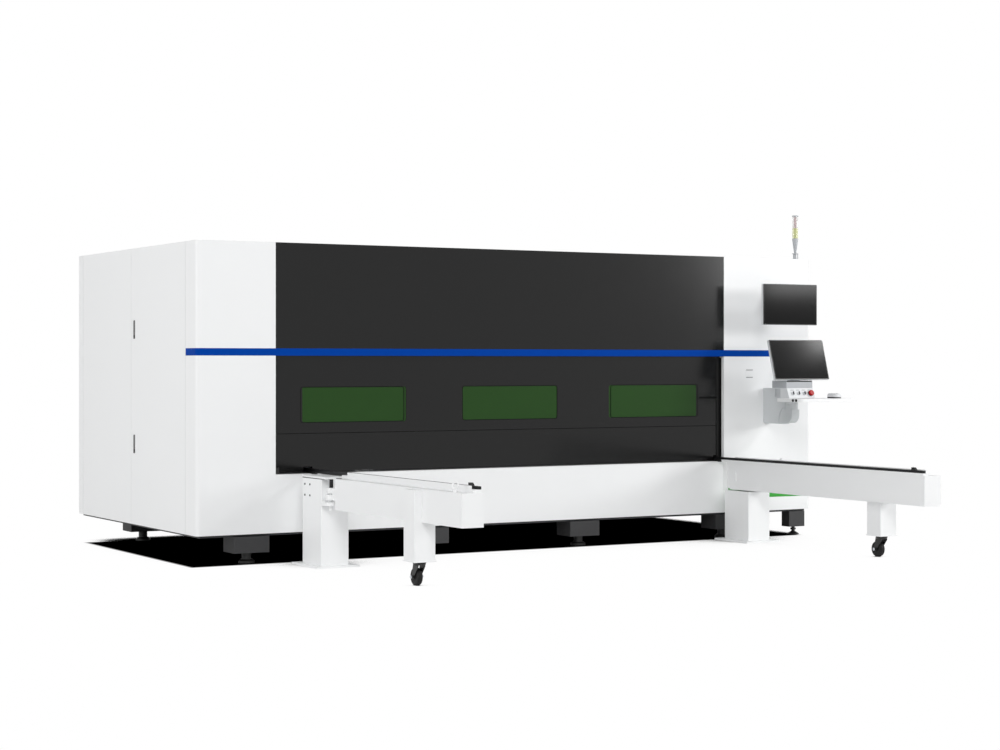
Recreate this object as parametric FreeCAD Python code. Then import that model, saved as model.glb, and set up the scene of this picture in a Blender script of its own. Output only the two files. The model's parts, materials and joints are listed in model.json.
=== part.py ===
import FreeCAD, Part
import math
import os

Vec = FreeCAD.Vector

# Fiber laser cutting machine with a drawer table that rolls out on two swing-out arms.
# Millimetres. While modelling, X runs right along the front from the left face, Y runs from
# the front plane to the back, Z runs up from the floor. The parts are written about the
# middle of the outer box on the floor.

# ------------------------------------------------------------------ enclosure sizes
ENCLOSURE_LENGTH = 4770.0
ENCLOSURE_DEPTH = 2260.0
PANEL_BOTTOM = 185.0
PANEL_HEIGHT = 1820.0
SHEET = 3.0
FOLD = 30.0
SEAM = 3.0
CORNER_RADIUS = 28.0
PILLAR_WRAP = 182.0
REAR_WRAP = 118.0
LEFT_PILLAR_WIDTH = 527.0
RIGHT_PILLAR_WIDTH = 778.0
PILLAR_RETURN = 48.0
SEAT = 0.3

# ------------------------------------------------------------------ front sizes
OPENING_SILL = 550.0
BAND_BOTTOM = 1295.0
BAND_HEIGHT = 46.0
BAND_THICKNESS = 2.0
UPPER_PANEL_THICKNESS = 6.0
DOOR_SETBACK = 50.0
DOOR_THICKNESS = 24.0
DOOR_BOTTOM = 803.0
DOOR_OVERLAP = 28.0
DOOR_TRAVEL = 580.0
JAMB_WIDTH = 26.0
JAMB_DEPTH = 44.0
JAMB_WALL = 4.0
DOOR_SIDE_GAP = 3.0
TONGUE_THICKNESS = 8.0
TONGUE_REACH = 14.0
CYLINDER_RADIUS = 16.0
CYLINDER_GAP = 3.0
CYLINDER_INSET = 40.0
ROD_RADIUS = 8.0
ROD_BORE_GAP = 0.5
ROD_SPARE = 20.0
ROD_PLATE = 8.0
ROD_PLATE_WIDTH = 36.0
WINDOW_WIDTH = 740.0
WINDOW_HEIGHT = 228.0
WINDOW_BOTTOM = 870.0
WINDOW_RADIUS = 18.0
WINDOW_SIDE_INSET = 175.5
WINDOW_COUNT = 3
WINDOW_GLASS = 8.0
WINDOW_REBATE = 14.0
SILL_HEIGHT = 7.0
DRAWER_GAP = 3.0
DRAWER_NOTCH_GAP = 6.0
DRAWER_RIM = 30.0
DRAWER_THICKNESS = 24.0
CORNER_BLOCK_WIDTH = 46.0
CORNER_BLOCK_HEIGHT = 40.0
CORNER_BLOCK_DEPTH = 6.0

# ------------------------------------------------------------------ bed sizes
BED_BOTTOM = 170.0
BED_HEIGHT = 160.0
BED_MEMBER_WIDTH = 120.0
BED_INSET = FOLD + SEAT
FOOT_BOX_LENGTH = 235.0
FOOT_BOX_DEPTH = 176.0
FOOT_BOX_BOTTOM = 68.0
FOOT_BOX_FRONT = 4.0
LEFT_FEET_X = (368.0, 1646.0)
RIGHT_FEET_INSET = (1948.0, 730.0)
REAR_FOOT_INSET = 316.0
STEM_RADIUS = 30.0
PAD_RADIUS = 51.0
PAD_HEIGHT = 24.0
CABINET_FOOT_INSET = 112.0
CABINET_FOOT_Y = 56.0
CABINET_BOX_LENGTH = 140.0
CABINET_BOX_DEPTH = 88.0
CABINET_BOX_BOTTOM = 58.0
CABINET_PAD_RADIUS = 42.0
TRAY_SHEET = 3.0
TRAY_WALL = 70.0
TRAY_SIDE_GAP = 10.0
TRAY_REACH = 60.0

# ------------------------------------------------------------------ enclosure frame sizes
FRAME_TUBE = 60.0
FRAME_FRONT_Y = 105.0
POST_CLEARANCE = 6.0
FRAME_TOP_GAP = 22.0
ROOF_RIB_RISE = 30.0

# ------------------------------------------------------------------ table and rail sizes
RAIL_GAUGE_LEFT = 785.0
RIGHT_RAIL_INSET = 818.0
RAIL_WIDTH = 18.0
RAIL_HEIGHT = 17.0
RAIL_BAR_WIDTH = 50.0
RAIL_BAR_LIP = 11.0
RAIL_BAR_HEIGHT = 17.0
RAIL_TOP = 582.0
INNER_RAIL_FRONT = -40.0
INNER_RAIL_INSET = 490.0
RAIL_WEB = 60.0
RAIL_FOOT = 40.0
RAIL_JOINT_GAP = 0.5
WHEEL_RADIUS = 50.0
WHEEL_WIDTH = 20.0
WHEEL_GROOVE = 5.0
WHEEL_RIM = 12.0
WHEEL_HUB = 9.0
FLANGE_HEIGHT = 6.0
FLANGE_WIDTH = 5.0
RUNNING_GAP = 0.3
AXLE_RADIUS = 12.0
AXLE_FIT = 0.2
AXLE_REACH = 3.0
TABLE_FRONT = 160.0
TABLE_DEPTH = 1560.0
TABLE_TUBE = 40.0
TABLE_TUBE_HEIGHT = 80.0
TABLE_TUBE_BOTTOM = 600.0
TABLE_CROSS_COUNT = 5
WHEEL_TUBE_GAP = 5.0
WHEEL_INSET = 140.0
SLAT_THICKNESS = 4.0
SLAT_PITCH = 100.0
SLAT_BOTTOM = 690.0
SLAT_HEIGHT = 100.0
SLAT_TOOTH_PITCH = 100.0
SLAT_TOOTH_DEPTH = 28.0
SLAT_TIP = 6.0
COMB_THICKNESS = 10.0
COMB_HEIGHT = 60.0
COMB_SLOT_GAP = 0.5
COMB_INSET = 15.0

# ------------------------------------------------------------------ gantry sizes
SUPPORT_WIDTH = 100.0
SUPPORT_TOP = 900.0
SUPPORT_FRONT = 115.0
SUPPORT_WALL_GAP = 74.0
HEAD_BITE = 4.0
SUPPORT_LEFT_X = 600.0
SUPPORT_RIGHT_INSET = 760.0
GANTRY_RAIL_WIDTH = 30.0
GANTRY_RAIL_HEIGHT = 28.0
RACK_WIDTH = 24.0
GANTRY_BLOCK_HEIGHT = 70.0
GANTRY_BLOCK_LENGTH = 300.0
BEAM_DEPTH = 220.0
BEAM_HEIGHT = 230.0
BEAM_INSET = 360.0
BEAM_RAIL = 24.0
BEAM_WALL = 10.0
MOTOR_SIZE = 110.0
MOTOR_LENGTH = 170.0
CARRIAGE_WIDTH = 260.0
CARRIAGE_THICKNESS = 40.0
CARRIAGE_HEIGHT = 330.0
CARRIAGE_START_X = 900.0
SLIDE_GAP = 0.5
HEAD_RADIUS = 42.0
HEAD_TIP_GAP = 160.0
HEAD_PROFILE = ((0.0, 0.0), (0.06, 0.0), (0.21, 14.0), (0.21, 22.0), (0.43, 26.0),
                (0.57, 46.0), (0.57, 60.0), (0.8, 66.0), (0.8, 110.0), (1.0, 116.0),
                (1.0, 200.0), (0.7, 212.0), (0.7, 262.0), (0.35, 274.0), (0.35, 300.0),
                (0.0, 300.0))
HEAD_PLATE = 20.0
HEAD_PLATE_WIDTH = 110.0
HEAD_PLATE_Z = (116.0, 240.0)
HEAD_BRIDGE_WIDTH = 52.0
HEAD_BRIDGE_Z = (120.0, 196.0)
HEAD_DRAWER_DEPTH = 44.0
HEAD_DRAWER_REACH = (52.0, 48.0)
HEAD_DRAWER_Z = (72.0, 98.0)

# ------------------------------------------------------------------ swing arm sizes
ARM_WIDTH = 134.0
ARM_HEIGHT = 187.5
ARM_WALL = 6.0
ARM_FRONT = -2149.0
LEFT_ARM_OFFSET = -119.0
LEFT_ARM_BACK = -574.0
RIGHT_ARM_OFFSET = -15.0
RIGHT_ARM_BACK = -143.0
GUARD_THICKNESS = 6.0
GUARD_HEIGHT = 37.0
GUARD_INSET = 30.0
RAIL_FRONT_INSET = 16.0
LEG_SIZE = 134.0
LEG_OUTSTAND = 46.0
LEG_CENTRE_Y = -1620.0
LEG_BOTTOM = 144.0
LEG_PLATE = 6.0
STOP_HEIGHT = 16.0
STOP_LENGTH = 40.0
FRONT_STOP_Y = -2021.0
CASTER_WHEEL_RADIUS = 50.0
CASTER_WHEEL_WIDTH = 32.0
CASTER_TRAIL = 34.0
CASTER_PLATE = 8.0
FORK_WALL = 5.0
FORK_GAP = 3.0
CASTER_AXLE_RADIUS = 8.0
SWIVEL_RADIUS = 38.0

# ------------------------------------------------------------------ posts and arm hinges
POST_WIDTH = 186.0
POST_DEPTH = 276.0
POST_WALL = 8.0
LEFT_POST_OFFSET = -150.0
LEFT_POST_FRONT = -439.0
LEFT_POST_TOP = 543.0
RIGHT_POST_OFFSET = -15.0
RIGHT_POST_FRONT = -359.0
RIGHT_POST_TOP = 340.0
POST_CAP = 12.0
BASE_PLATE = 12.0
BASE_MARGIN = 50.0
BOLT_INSET = 24.0
BOLT_HOLE_RADIUS = 9.0
PIN_RADIUS = 11.0
PIN_FIT = 0.4
LEFT_PIN_OFFSET = -107.0
LEFT_PIN_Y = -490.0
RIGHT_PIN_OFFSET = 145.0
RIGHT_PIN_Y = -228.0
LUG_RADIUS = 44.0
LUG_BOTTOM = 381.0
LUG_HEIGHT = 21.0
MIDDLE_BARREL_RADIUS = 35.0
UPPER_BARREL_RADIUS = 27.0
BARREL_HEIGHT = 31.0
MIDDLE_BARREL_BOTTOM = 416.0
UPPER_BARREL_BOTTOM = 458.0
BARREL_ARM_THICKNESS = 20.0
WASHER_GAP = 0.5

# ------------------------------------------------------------------ operator station sizes
STATION_INSET = 389.0
SWIVEL_Y = -281.0
SUPPORT_TUBE_RADIUS = 42.0
SUPPORT_ARM_BOTTOM = 824.0
SUPPORT_ARM_HEIGHT = 96.0
ELBOW_BEND = 60.0
COLUMN_WIDTH = 76.0
COLUMN_NOSE = -250.0
COLUMN_BOTTOM = 815.0
COLUMN_TOP = 1069.0
COLUMN_EDGE = 14.0
RECESS_Y = (-208.0, -141.0)
RECESS_Z = (1008.0, 1062.0)
RECESS_DEPTH = 5.0
SCOOP_Y = -300.0
SCOOP_Z = 830.0
SCOOP_RADIUS = 125.0
SCOOP_HALF = 33.0
SWING_GAP = 7.0
SHELF_TOP = 1002.0
SHELF_THICKNESS = 24.0
SHELF_WIDTH = 500.0
SHELF_OFFSET = 11.0
SHELF_BACK = -396.0
SHELF_DEPTH = 276.0
SHELF_CORNER = 36.0
SHELF_TONGUE_WIDTH = 96.0
SOCKET_RADIUS = 8.0
SOCKET_OFFSETS = (41.0, 76.0)
SOCKET_DEPTH = 12.0
CONSOLE_OFFSET = -25.5
CONSOLE_WIDTH = 231.0
CONSOLE_FRONT = -432.0
CONSOLE_BACK = -330.0
PANEL_RISE = 70.0
PANEL_LEAN = 30.0
NECK_HEIGHT = 52.0
NECK_BACK = -236.0
NECK_STEM_WIDTH = 90.0
NECK_STEM_DEPTH = 26.0
KNOB_RADIUS = 11.0
KNOB_HEIGHT = 16.0
KNOB_PITCH = 51.0
KNOB_COUNT = 3
STOP_BUTTON_RADIUS = 20.0
STOP_BUTTON_TRAVEL = 5.0
STOP_BUTTON_STEM = 11.0
STOP_BUTTON_HEAD = 14.0
BUTTON_X_OFFSET = 82.5
BUTTON_SPACING = 56.0
MONITOR_WIDTH = 482.0
MONITOR_HEIGHT = 291.0
MONITOR_DEPTH = 36.0
MONITOR_BEZEL = 8.0
MONITOR_CORNER = 6.0
LOWER_MONITOR_LEAN = 16.0
LOWER_MONITOR_Y = -360.0
LOWER_MONITOR_Z = 1272.5
UPPER_MONITOR_Z = 1663.5
UPPER_MONITOR_FACE = -261.0
VESA_SIZE = 110.0
VESA_THICKNESS = 10.0
HINGE_KNUCKLE_RADIUS = 14.0
HINGE_KNUCKLE_WIDTH = 60.0
HINGE_PIN_RADIUS = 6.0
MOUSE_LENGTH = 104.0
MOUSE_FROM_RIGHT = 118.0
MOUSE_FROM_FRONT = 100.0
MOUSE_WIDTH = 60.0
MOUSE_HEIGHT = 34.0

# ------------------------------------------------------------------ signal tower sizes
TOWER_INSET = 89.0
TOWER_Y = 60.0
TOWER_RADIUS = 23.0
TOWER_HEIGHT = 322.0
TOWER_BASE_HEIGHT = 45.0
TOWER_CONE_TOP = 153.0
TOWER_NECK_RADIUS = 9.0
TOWER_CAP_HEIGHT = 8.0

# ------------------------------------------------------------------ side, rear and roof sizes
LOCK_WIDTH = 34.0
LOCK_HEIGHT = 123.0
LOCK_DEPTH = 14.0
LOCK_GAP = 0.4
LOCK_Z = (715.0, 1470.0)
LOCK_EDGE = 40.0
HATCH_BOTTOM = 281.0
HATCH_TOP = 500.0
HATCH_SIDE = 38.0
HATCH_RECESS = 22.0
PLINTH_GROOVE_Z = 220.0
PLINTH_GROOVE = 4.0
PORT_INSET = 584.0
PORT_BOTTOM = 1144.0
PORT_WIDTH = 63.0
PORT_HEIGHT = 57.0
PORT_PROUD = 2.0
LOUVRE_COUNT = 7
LOUVRE_LENGTH = 360.0
LOUVRE_PITCH = 40.0
LOUVRE_SLOT = 12.0
DUCT_RADIUS = 125.0
DUCT_LENGTH = 90.0
DUCT_WALL = 3.0
DUCT_OFFSET = -125.0
DUCT_Z = 520.0
DUCT_FLANGE = 30.0

# ------------------------------------------------------------------ cabinet sizes
CABINET_GAP = 70.0
CABINET_WALL_GAP = 80.0
CABINET_BACK_GAP = 160.0
CABINET_DEPTH = 1180.0
CABINET_HEIGHT = 1500.0
LASER_DEPTH = 560.0
LASER_HEIGHT = 760.0
CABINET_SPACING = 60.0

# ------------------------------------------------------------------ places worked out
PANEL_TOP = PANEL_BOTTOM + PANEL_HEIGHT
OPENING_LEFT = LEFT_PILLAR_WIDTH
OPENING_RIGHT = ENCLOSURE_LENGTH - RIGHT_PILLAR_WIDTH
BAND_TOP = BAND_BOTTOM + BAND_HEIGHT
BED_TOP = BED_BOTTOM + BED_HEIGHT
FOOT_X = LEFT_FEET_X + tuple(ENCLOSURE_LENGTH - inset for inset in RIGHT_FEET_INSET)
REAR_FOOT_Y = ENCLOSURE_DEPTH - REAR_FOOT_INSET
CABINET_FOOT_X = ENCLOSURE_LENGTH - CABINET_FOOT_INSET
RAIL_GAUGE_RIGHT = ENCLOSURE_LENGTH - RIGHT_RAIL_INSET
INNER_RAIL_BACK = ENCLOSURE_DEPTH - INNER_RAIL_INSET
SUPPORT_RIGHT_X = ENCLOSURE_LENGTH - SUPPORT_RIGHT_INSET
BEAM_CENTRE_Y = ENCLOSURE_DEPTH - BEAM_INSET
LEFT_ARM_X = RAIL_GAUGE_LEFT + LEFT_ARM_OFFSET
RIGHT_ARM_X = RAIL_GAUGE_RIGHT + RIGHT_ARM_OFFSET
LEFT_POST_X = RAIL_GAUGE_LEFT + LEFT_POST_OFFSET
RIGHT_POST_X = RAIL_GAUGE_RIGHT + RIGHT_POST_OFFSET
LEFT_PIN_X = RAIL_GAUGE_LEFT + LEFT_PIN_OFFSET
RIGHT_PIN_X = RAIL_GAUGE_RIGHT + RIGHT_PIN_OFFSET
STATION_X = ENCLOSURE_LENGTH - STATION_INSET
CONSOLE_X = STATION_X + CONSOLE_OFFSET
TOWER_X = ENCLOSURE_LENGTH - TOWER_INSET
PORT_X = ENCLOSURE_LENGTH - PORT_INSET
DUCT_X = ENCLOSURE_LENGTH / 2.0 + DUCT_OFFSET
LASER_FRONT = ENCLOSURE_DEPTH - CABINET_BACK_GAP - LASER_DEPTH
CABINET_FRONT = LASER_FRONT - CABINET_SPACING - CABINET_DEPTH
RAIL_BASE = RAIL_TOP - RAIL_HEIGHT
RAIL_BAR_BOTTOM = RAIL_BASE - RAIL_BAR_HEIGHT
ARM_TOP = RAIL_BAR_BOTTOM
ARM_BOTTOM = ARM_TOP - ARM_HEIGHT
SLAT_TOP = SLAT_BOTTOM + SLAT_HEIGHT
TUBE_TOP = TABLE_TUBE_BOTTOM + TABLE_TUBE_HEIGHT
TABLE_BACK = TABLE_FRONT + TABLE_DEPTH
DUCT_BACK = ENCLOSURE_DEPTH + DUCT_LENGTH
MIDDLE_X = ENCLOSURE_LENGTH / 2.0
MIDDLE_Y = (ARM_FRONT + DUCT_BACK) / 2.0


# ------------------------------------------------------------------ small helpers
def block(x0, x1, y0, y1, z0, z1):
    """A rectangular block between two corners."""
    return Part.makeBox(x1 - x0, y1 - y0, z1 - z0, Vec(x0, y0, z0))


def upright(x, y, z0, z1, radius):
    """An upright round bar."""
    return Part.makeCylinder(radius, z1 - z0, Vec(x, y, z0))


def lying_x(x0, x1, y, z, radius):
    """A round bar along X."""
    return Part.makeCylinder(radius, x1 - x0, Vec(x0, y, z), Vec(1, 0, 0))


def lying_y(x, y0, y1, z, radius):
    """A round bar along Y."""
    return Part.makeCylinder(radius, y1 - y0, Vec(x, y0, z), Vec(0, 1, 0))


def prism_x(profile, x0, x1):
    """A closed (y, z) outline pulled along X."""
    points = [Vec(x0, y, z) for y, z in profile]
    face = Part.Face(Part.makePolygon(points + [points[0]]))
    return face.extrude(Vec(x1 - x0, 0, 0))


def turned(profile, x, y):
    """An (r, z) outline turned about the upright axis through x, y."""
    points = [Vec(x + r, y, z) for r, z in profile]
    face = Part.Face(Part.makePolygon(points + [points[0]]))
    return face.revolve(Vec(x, y, 0), Vec(0, 0, 1), 360)


def rounded(shape, radius, picks):
    """Round the edges whose middle satisfies picks."""
    edges = [edge for edge in shape.Edges if picks(edge)]
    return shape.makeFillet(radius, edges)


def is_upright(edge):
    """True for a straight edge along Z."""
    first = edge.Vertexes[0].Point
    last = edge.Vertexes[-1].Point
    return abs(first.x - last.x) < 1e-6 and abs(first.y - last.y) < 1e-6


def is_along_y(edge):
    """True for a straight edge along Y."""
    first = edge.Vertexes[0].Point
    last = edge.Vertexes[-1].Point
    return abs(first.x - last.x) < 1e-6 and abs(first.z - last.z) < 1e-6


def rounded_window(x0, x1, y0, y1, z0, z1, radius):
    """A block whose four edges along Y are rounded."""
    return rounded(block(x0, x1, y0, y1, z0, z1), radius, is_along_y)


def rounded_plate(x0, x1, y0, y1, z0, z1, radius):
    """A block whose four upright edges are rounded."""
    return rounded(block(x0, x1, y0, y1, z0, z1), radius, is_upright)


def square_tube(outer, wall, along):
    """Hollow a block along one axis, with open ends."""
    box = outer.BoundBox
    low = [box.XMin + wall, box.YMin + wall, box.ZMin + wall]
    high = [box.XMax - wall, box.YMax - wall, box.ZMax - wall]
    low["xyz".index(along)] -= 2.0 * wall
    high["xyz".index(along)] += 2.0 * wall
    return outer.cut(block(low[0], high[0], low[1], high[1], low[2], high[2]))


def group(solids):
    """Pieces or frame members that share one node, kept as separate solids."""
    return Part.makeCompound(solids)


def fused(solids):
    """One welded or cast piece."""
    whole = solids[0].fuse(solids[1:])
    return whole.removeSplitter()


# ------------------------------------------------------------------ bed and feet
def foot_places():
    """Centres of the eight main levelling feet."""
    front_y = FOOT_BOX_FRONT + FOOT_BOX_DEPTH / 2.0
    return [(x, y) for y in (front_y, REAR_FOOT_Y) for x in FOOT_X]


def machine_bed():
    """Welded ladder frame: long members, cross members, foot boxes and gantry side beams."""
    left = BED_INSET
    right = ENCLOSURE_LENGTH - BED_INSET
    back = ENCLOSURE_DEPTH - BED_INSET
    cross_front = left + BED_MEMBER_WIDTH
    cross_back = back - BED_MEMBER_WIDTH
    members = [block(left, right, left, cross_front, BED_BOTTOM, BED_TOP),
               block(left, right, cross_back, back, BED_BOTTOM, BED_TOP)]
    half = BED_MEMBER_WIDTH / 2.0
    for x in (left + half, *FOOT_X, right - half):
        members.append(block(x - half, x + half, cross_front, cross_back, BED_BOTTOM, BED_TOP))
    for x, y in foot_places():
        members.append(block(x - FOOT_BOX_LENGTH / 2.0, x + FOOT_BOX_LENGTH / 2.0,
                             y - FOOT_BOX_DEPTH / 2.0, y + FOOT_BOX_DEPTH / 2.0,
                             FOOT_BOX_BOTTOM, BED_BOTTOM))
    members.append(block(CABINET_FOOT_X - CABINET_BOX_LENGTH / 2.0,
                         CABINET_FOOT_X + CABINET_BOX_LENGTH / 2.0,
                         CABINET_FOOT_Y - CABINET_BOX_DEPTH / 2.0,
                         CABINET_FOOT_Y + CABINET_BOX_DEPTH / 2.0,
                         CABINET_BOX_BOTTOM, BED_BOTTOM))
    return group(members + gantry_supports())


def gantry_supports():
    """The two side beams that carry the gantry rails."""
    back = ENCLOSURE_DEPTH - BED_INSET - SUPPORT_WALL_GAP
    front = SUPPORT_FRONT
    return [block(x, x + SUPPORT_WIDTH, front, back, BED_TOP, SUPPORT_TOP)
            for x in (SUPPORT_LEFT_X, SUPPORT_RIGHT_X)]


def levelling_feet():
    """Round pads with thick threaded stems, and the smaller cone foot at the right front."""
    feet = []
    for x, y in foot_places():
        outline = [(0, 0), (PAD_RADIUS, 0), (PAD_RADIUS, PAD_HEIGHT * 0.6),
                   (STEM_RADIUS + 8.0, PAD_HEIGHT), (STEM_RADIUS, PAD_HEIGHT),
                   (STEM_RADIUS, FOOT_BOX_BOTTOM), (0, FOOT_BOX_BOTTOM)]
        feet.append(turned(outline, x, y))
    radius = CABINET_PAD_RADIUS
    outline = [(0, 0), (radius, 0), (radius, 6.0), (radius * 0.3, 24.0),
               (radius * 0.3, 34.0), (radius * 0.48, 34.0), (radius * 0.48, 46.0),
               (radius * 0.3, 46.0), (radius * 0.3, CABINET_BOX_BOTTOM),
               (0, CABINET_BOX_BOTTOM)]
    feet.append(turned(outline, CABINET_FOOT_X, CABINET_FOOT_Y))
    return group(feet)


def scrap_tray():
    """Shallow folded tray under the slats that catches the cut scrap."""
    left = SUPPORT_LEFT_X + SUPPORT_WIDTH + TRAY_SIDE_GAP
    right = SUPPORT_RIGHT_X - TRAY_SIDE_GAP
    front = TABLE_FRONT
    back = TABLE_BACK + TRAY_REACH
    floor = BED_TOP + SEAT
    outer = block(left, right, front, back, floor, floor + TRAY_WALL)
    inner = block(left + TRAY_SHEET, right - TRAY_SHEET, front + TRAY_SHEET,
                  back - TRAY_SHEET, floor + TRAY_SHEET, floor + TRAY_WALL + 1.0)
    return outer.cut(inner)


# ------------------------------------------------------------------ enclosure frame and covers
def enclosure_frame():
    """Welded tube skeleton that stands on the bed and carries the covers."""
    low_x = FOLD + SEAT
    high_x = ENCLOSURE_LENGTH - FOLD - SEAT
    low_y = FRAME_FRONT_Y
    high_y = ENCLOSURE_DEPTH - FOLD - SEAT
    foot = BED_TOP
    top = PANEL_TOP - FRAME_TOP_GAP - FOLD
    size = FRAME_TUBE
    tubes = []
    inner_posts = (OPENING_LEFT - JAMB_WIDTH - size,
                   SUPPORT_RIGHT_X + SUPPORT_WIDTH + POST_CLEARANCE)
    for x in (low_x, *inner_posts, high_x - size):
        tubes.append(block(x, x + size, low_y, low_y + size, foot, top))
    for x in (low_x, MIDDLE_X - size / 2.0, high_x - size):
        tubes.append(block(x, x + size, high_y - size, high_y, foot, top))
    tubes.append(block(low_x, high_x, low_y, low_y + size, top - size, top))
    tubes.append(block(low_x, high_x, high_y - size, high_y, top - size, top))
    for x in (low_x, MIDDLE_X - size / 2.0, high_x - size):
        tubes.append(block(x, x + size, low_y, high_y, top - size, top))
    return fused(tubes)


def pillar_shell(width, mirrored):
    """Folded front corner cover: rounded outer corner, side wrap and inner return."""
    shell = block(0, width, 0, PILLAR_WRAP, PANEL_BOTTOM, PANEL_TOP)
    corner = [edge for edge in shell.Edges
              if is_upright(edge) and edge.CenterOfMass.x < 1.0 and edge.CenterOfMass.y < 1.0]
    shell = shell.makeFillet(CORNER_RADIUS, corner)
    hollow = block(SHEET, width - SHEET, SHEET, PILLAR_WRAP + 1.0, PANEL_BOTTOM - 1.0,
                   PANEL_TOP - SHEET)
    corner = [edge for edge in hollow.Edges
              if is_upright(edge) and edge.CenterOfMass.x < SHEET + 1.0
              and edge.CenterOfMass.y < SHEET + 1.0]
    hollow = hollow.makeFillet(CORNER_RADIUS - SHEET, corner)
    shell = shell.cut(hollow)
    rear_half = block(FOLD, width + 1.0, PILLAR_RETURN, PILLAR_WRAP + 1.0,
                      PANEL_BOTTOM - 1.0, PANEL_TOP + 1.0)
    shell = shell.cut(rear_half)
    bed_notch = block(FOLD, width + 1.0, BED_INSET - SEAT, PILLAR_RETURN + 1.0,
                      PANEL_BOTTOM - 1.0, BED_TOP + SEAT)
    shell = shell.cut(bed_notch)
    if mirrored:
        shell = shell.mirror(Vec(0, 0, 0), Vec(1, 0, 0))
        shell.translate(Vec(ENCLOSURE_LENGTH, 0, 0))
    return shell


def band_groove(shape):
    """Cut the groove that holds the coloured band flush in a cover."""
    outer = block(-1.0, ENCLOSURE_LENGTH + 1.0, -1.0, PILLAR_WRAP + 1.0, BAND_BOTTOM, BAND_TOP)
    return shape.cut(outer.cut(band_core()))


def band_core():
    """The space inside the band: the enclosure drawn in by the band's thickness."""
    inset = BAND_THICKNESS
    core = block(inset, ENCLOSURE_LENGTH - inset, inset, PILLAR_WRAP + 2.0,
                 BAND_BOTTOM - 1.0, BAND_TOP + 1.0)
    corners = [edge for edge in core.Edges if is_upright(edge) and edge.CenterOfMass.y < 10.0]
    return core.makeFillet(CORNER_RADIUS - inset, corners)


def blue_band():
    """Coloured strip across the front that wraps round both corners."""
    outer = block(0, ENCLOSURE_LENGTH, 0, PILLAR_WRAP, BAND_BOTTOM + SEAT, BAND_TOP - SEAT)
    corners = [edge for edge in outer.Edges if is_upright(edge) and edge.CenterOfMass.y < 10.0]
    outer = outer.makeFillet(CORNER_RADIUS, corners)
    return outer.cut(band_core())


def left_front_pillar():
    """Wide left corner cover."""
    return band_groove(pillar_shell(LEFT_PILLAR_WIDTH, False))


def hatch_span():
    """Left and right ends of the recessed hatch in the right corner cover."""
    return OPENING_RIGHT + HATCH_SIDE, ENCLOSURE_LENGTH - HATCH_SIDE


def right_front_pillar():
    """Right corner cover with the hatch recess, the plinth groove and the raised port cover."""
    shell = band_groove(pillar_shell(RIGHT_PILLAR_WIDTH, True))
    left, right = hatch_span()
    shell = shell.cut(block(left, right, -1.0, SHEET + 1.0, HATCH_BOTTOM, HATCH_TOP))
    groove = block(left, right, -1.0, SHEET / 2.0, PLINTH_GROOVE_Z,
                   PLINTH_GROOVE_Z + PLINTH_GROOVE)
    shell = shell.cut(groove)
    port = rounded_window(PORT_X, PORT_X + PORT_WIDTH, -PORT_PROUD, SHEET / 2.0,
                          PORT_BOTTOM, PORT_BOTTOM + PORT_HEIGHT, 6.0)
    return shell.fuse(port).removeSplitter()


def lower_hatch():
    """Removable tray-shaped hatch set back in the right corner cover."""
    left, right = hatch_span()
    rim = 12.0
    tray = block(left - rim, right + rim, SHEET + SEAT, HATCH_RECESS + SHEET,
                 HATCH_BOTTOM - rim, HATCH_TOP + rim)
    dish = block(left, right, SHEET - 1.0, HATCH_RECESS, HATCH_BOTTOM, HATCH_TOP)
    return tray.cut(dish)


def upper_front_panel():
    """Fixed dark panel above the band, with folded returns top and bottom."""
    left = OPENING_LEFT + SEAT
    right = OPENING_RIGHT - SEAT
    panel = block(left, right, 0, UPPER_PANEL_THICKNESS, BAND_TOP + SEAT, PANEL_TOP)
    top_return = block(left, right, 0, PILLAR_RETURN, PANEL_TOP - UPPER_PANEL_THICKNESS, PANEL_TOP)
    backing = block(left, right, BAND_THICKNESS + SEAT, UPPER_PANEL_THICKNESS,
                    BAND_BOTTOM, BAND_TOP + SEAT)
    return fused([panel, top_return, backing])


def front_skirt():
    """Folded white cover below the opening, with a sill return and a lower lip."""
    left = OPENING_LEFT + SEAT
    right = OPENING_RIGHT - SEAT
    front = block(left, right, 2.0, 2.0 + SHEET, PANEL_BOTTOM, OPENING_SILL)
    sill = block(left, right, 2.0, DOOR_SETBACK - SEAT, OPENING_SILL - SHEET, OPENING_SILL)
    lip = block(left, right, 2.0, BED_INSET - SEAT, PANEL_BOTTOM, PANEL_BOTTOM + SHEET)
    skirt = fused([front, sill, lip])
    for low, high in inner_bar_spans():
        notch = block(low - 1.0, high + 1.0, -1.0, DOOR_SETBACK + 1.0,
                      RAIL_BAR_BOTTOM - SEAT, OPENING_SILL + 1.0)
        skirt = skirt.cut(notch)
    return skirt


def side_tray(y0, y1, outward):
    """Folded tray cover in the side plane, hollow towards the inside."""
    x0 = 0.0 if outward < 0 else ENCLOSURE_LENGTH - FOLD
    tray = block(x0, x0 + FOLD, y0, y1, PANEL_BOTTOM, PANEL_TOP)
    shift = SHEET if outward < 0 else -SHEET
    hollow = block(x0 + shift, x0 + FOLD + shift, y0 + SHEET, y1 - SHEET,
                   PANEL_BOTTOM + SHEET, PANEL_TOP - SHEET)
    return tray.cut(hollow)


def side_middle():
    """The Y of the seam where the two left service doors meet."""
    return (PILLAR_WRAP + ENCLOSURE_DEPTH - REAR_WRAP) / 2.0


def lock_pocket_y():
    """Front and back of the lock pockets, just ahead of the seam between the doors."""
    back = side_middle() - LOCK_EDGE
    return back - LOCK_WIDTH, back


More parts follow.
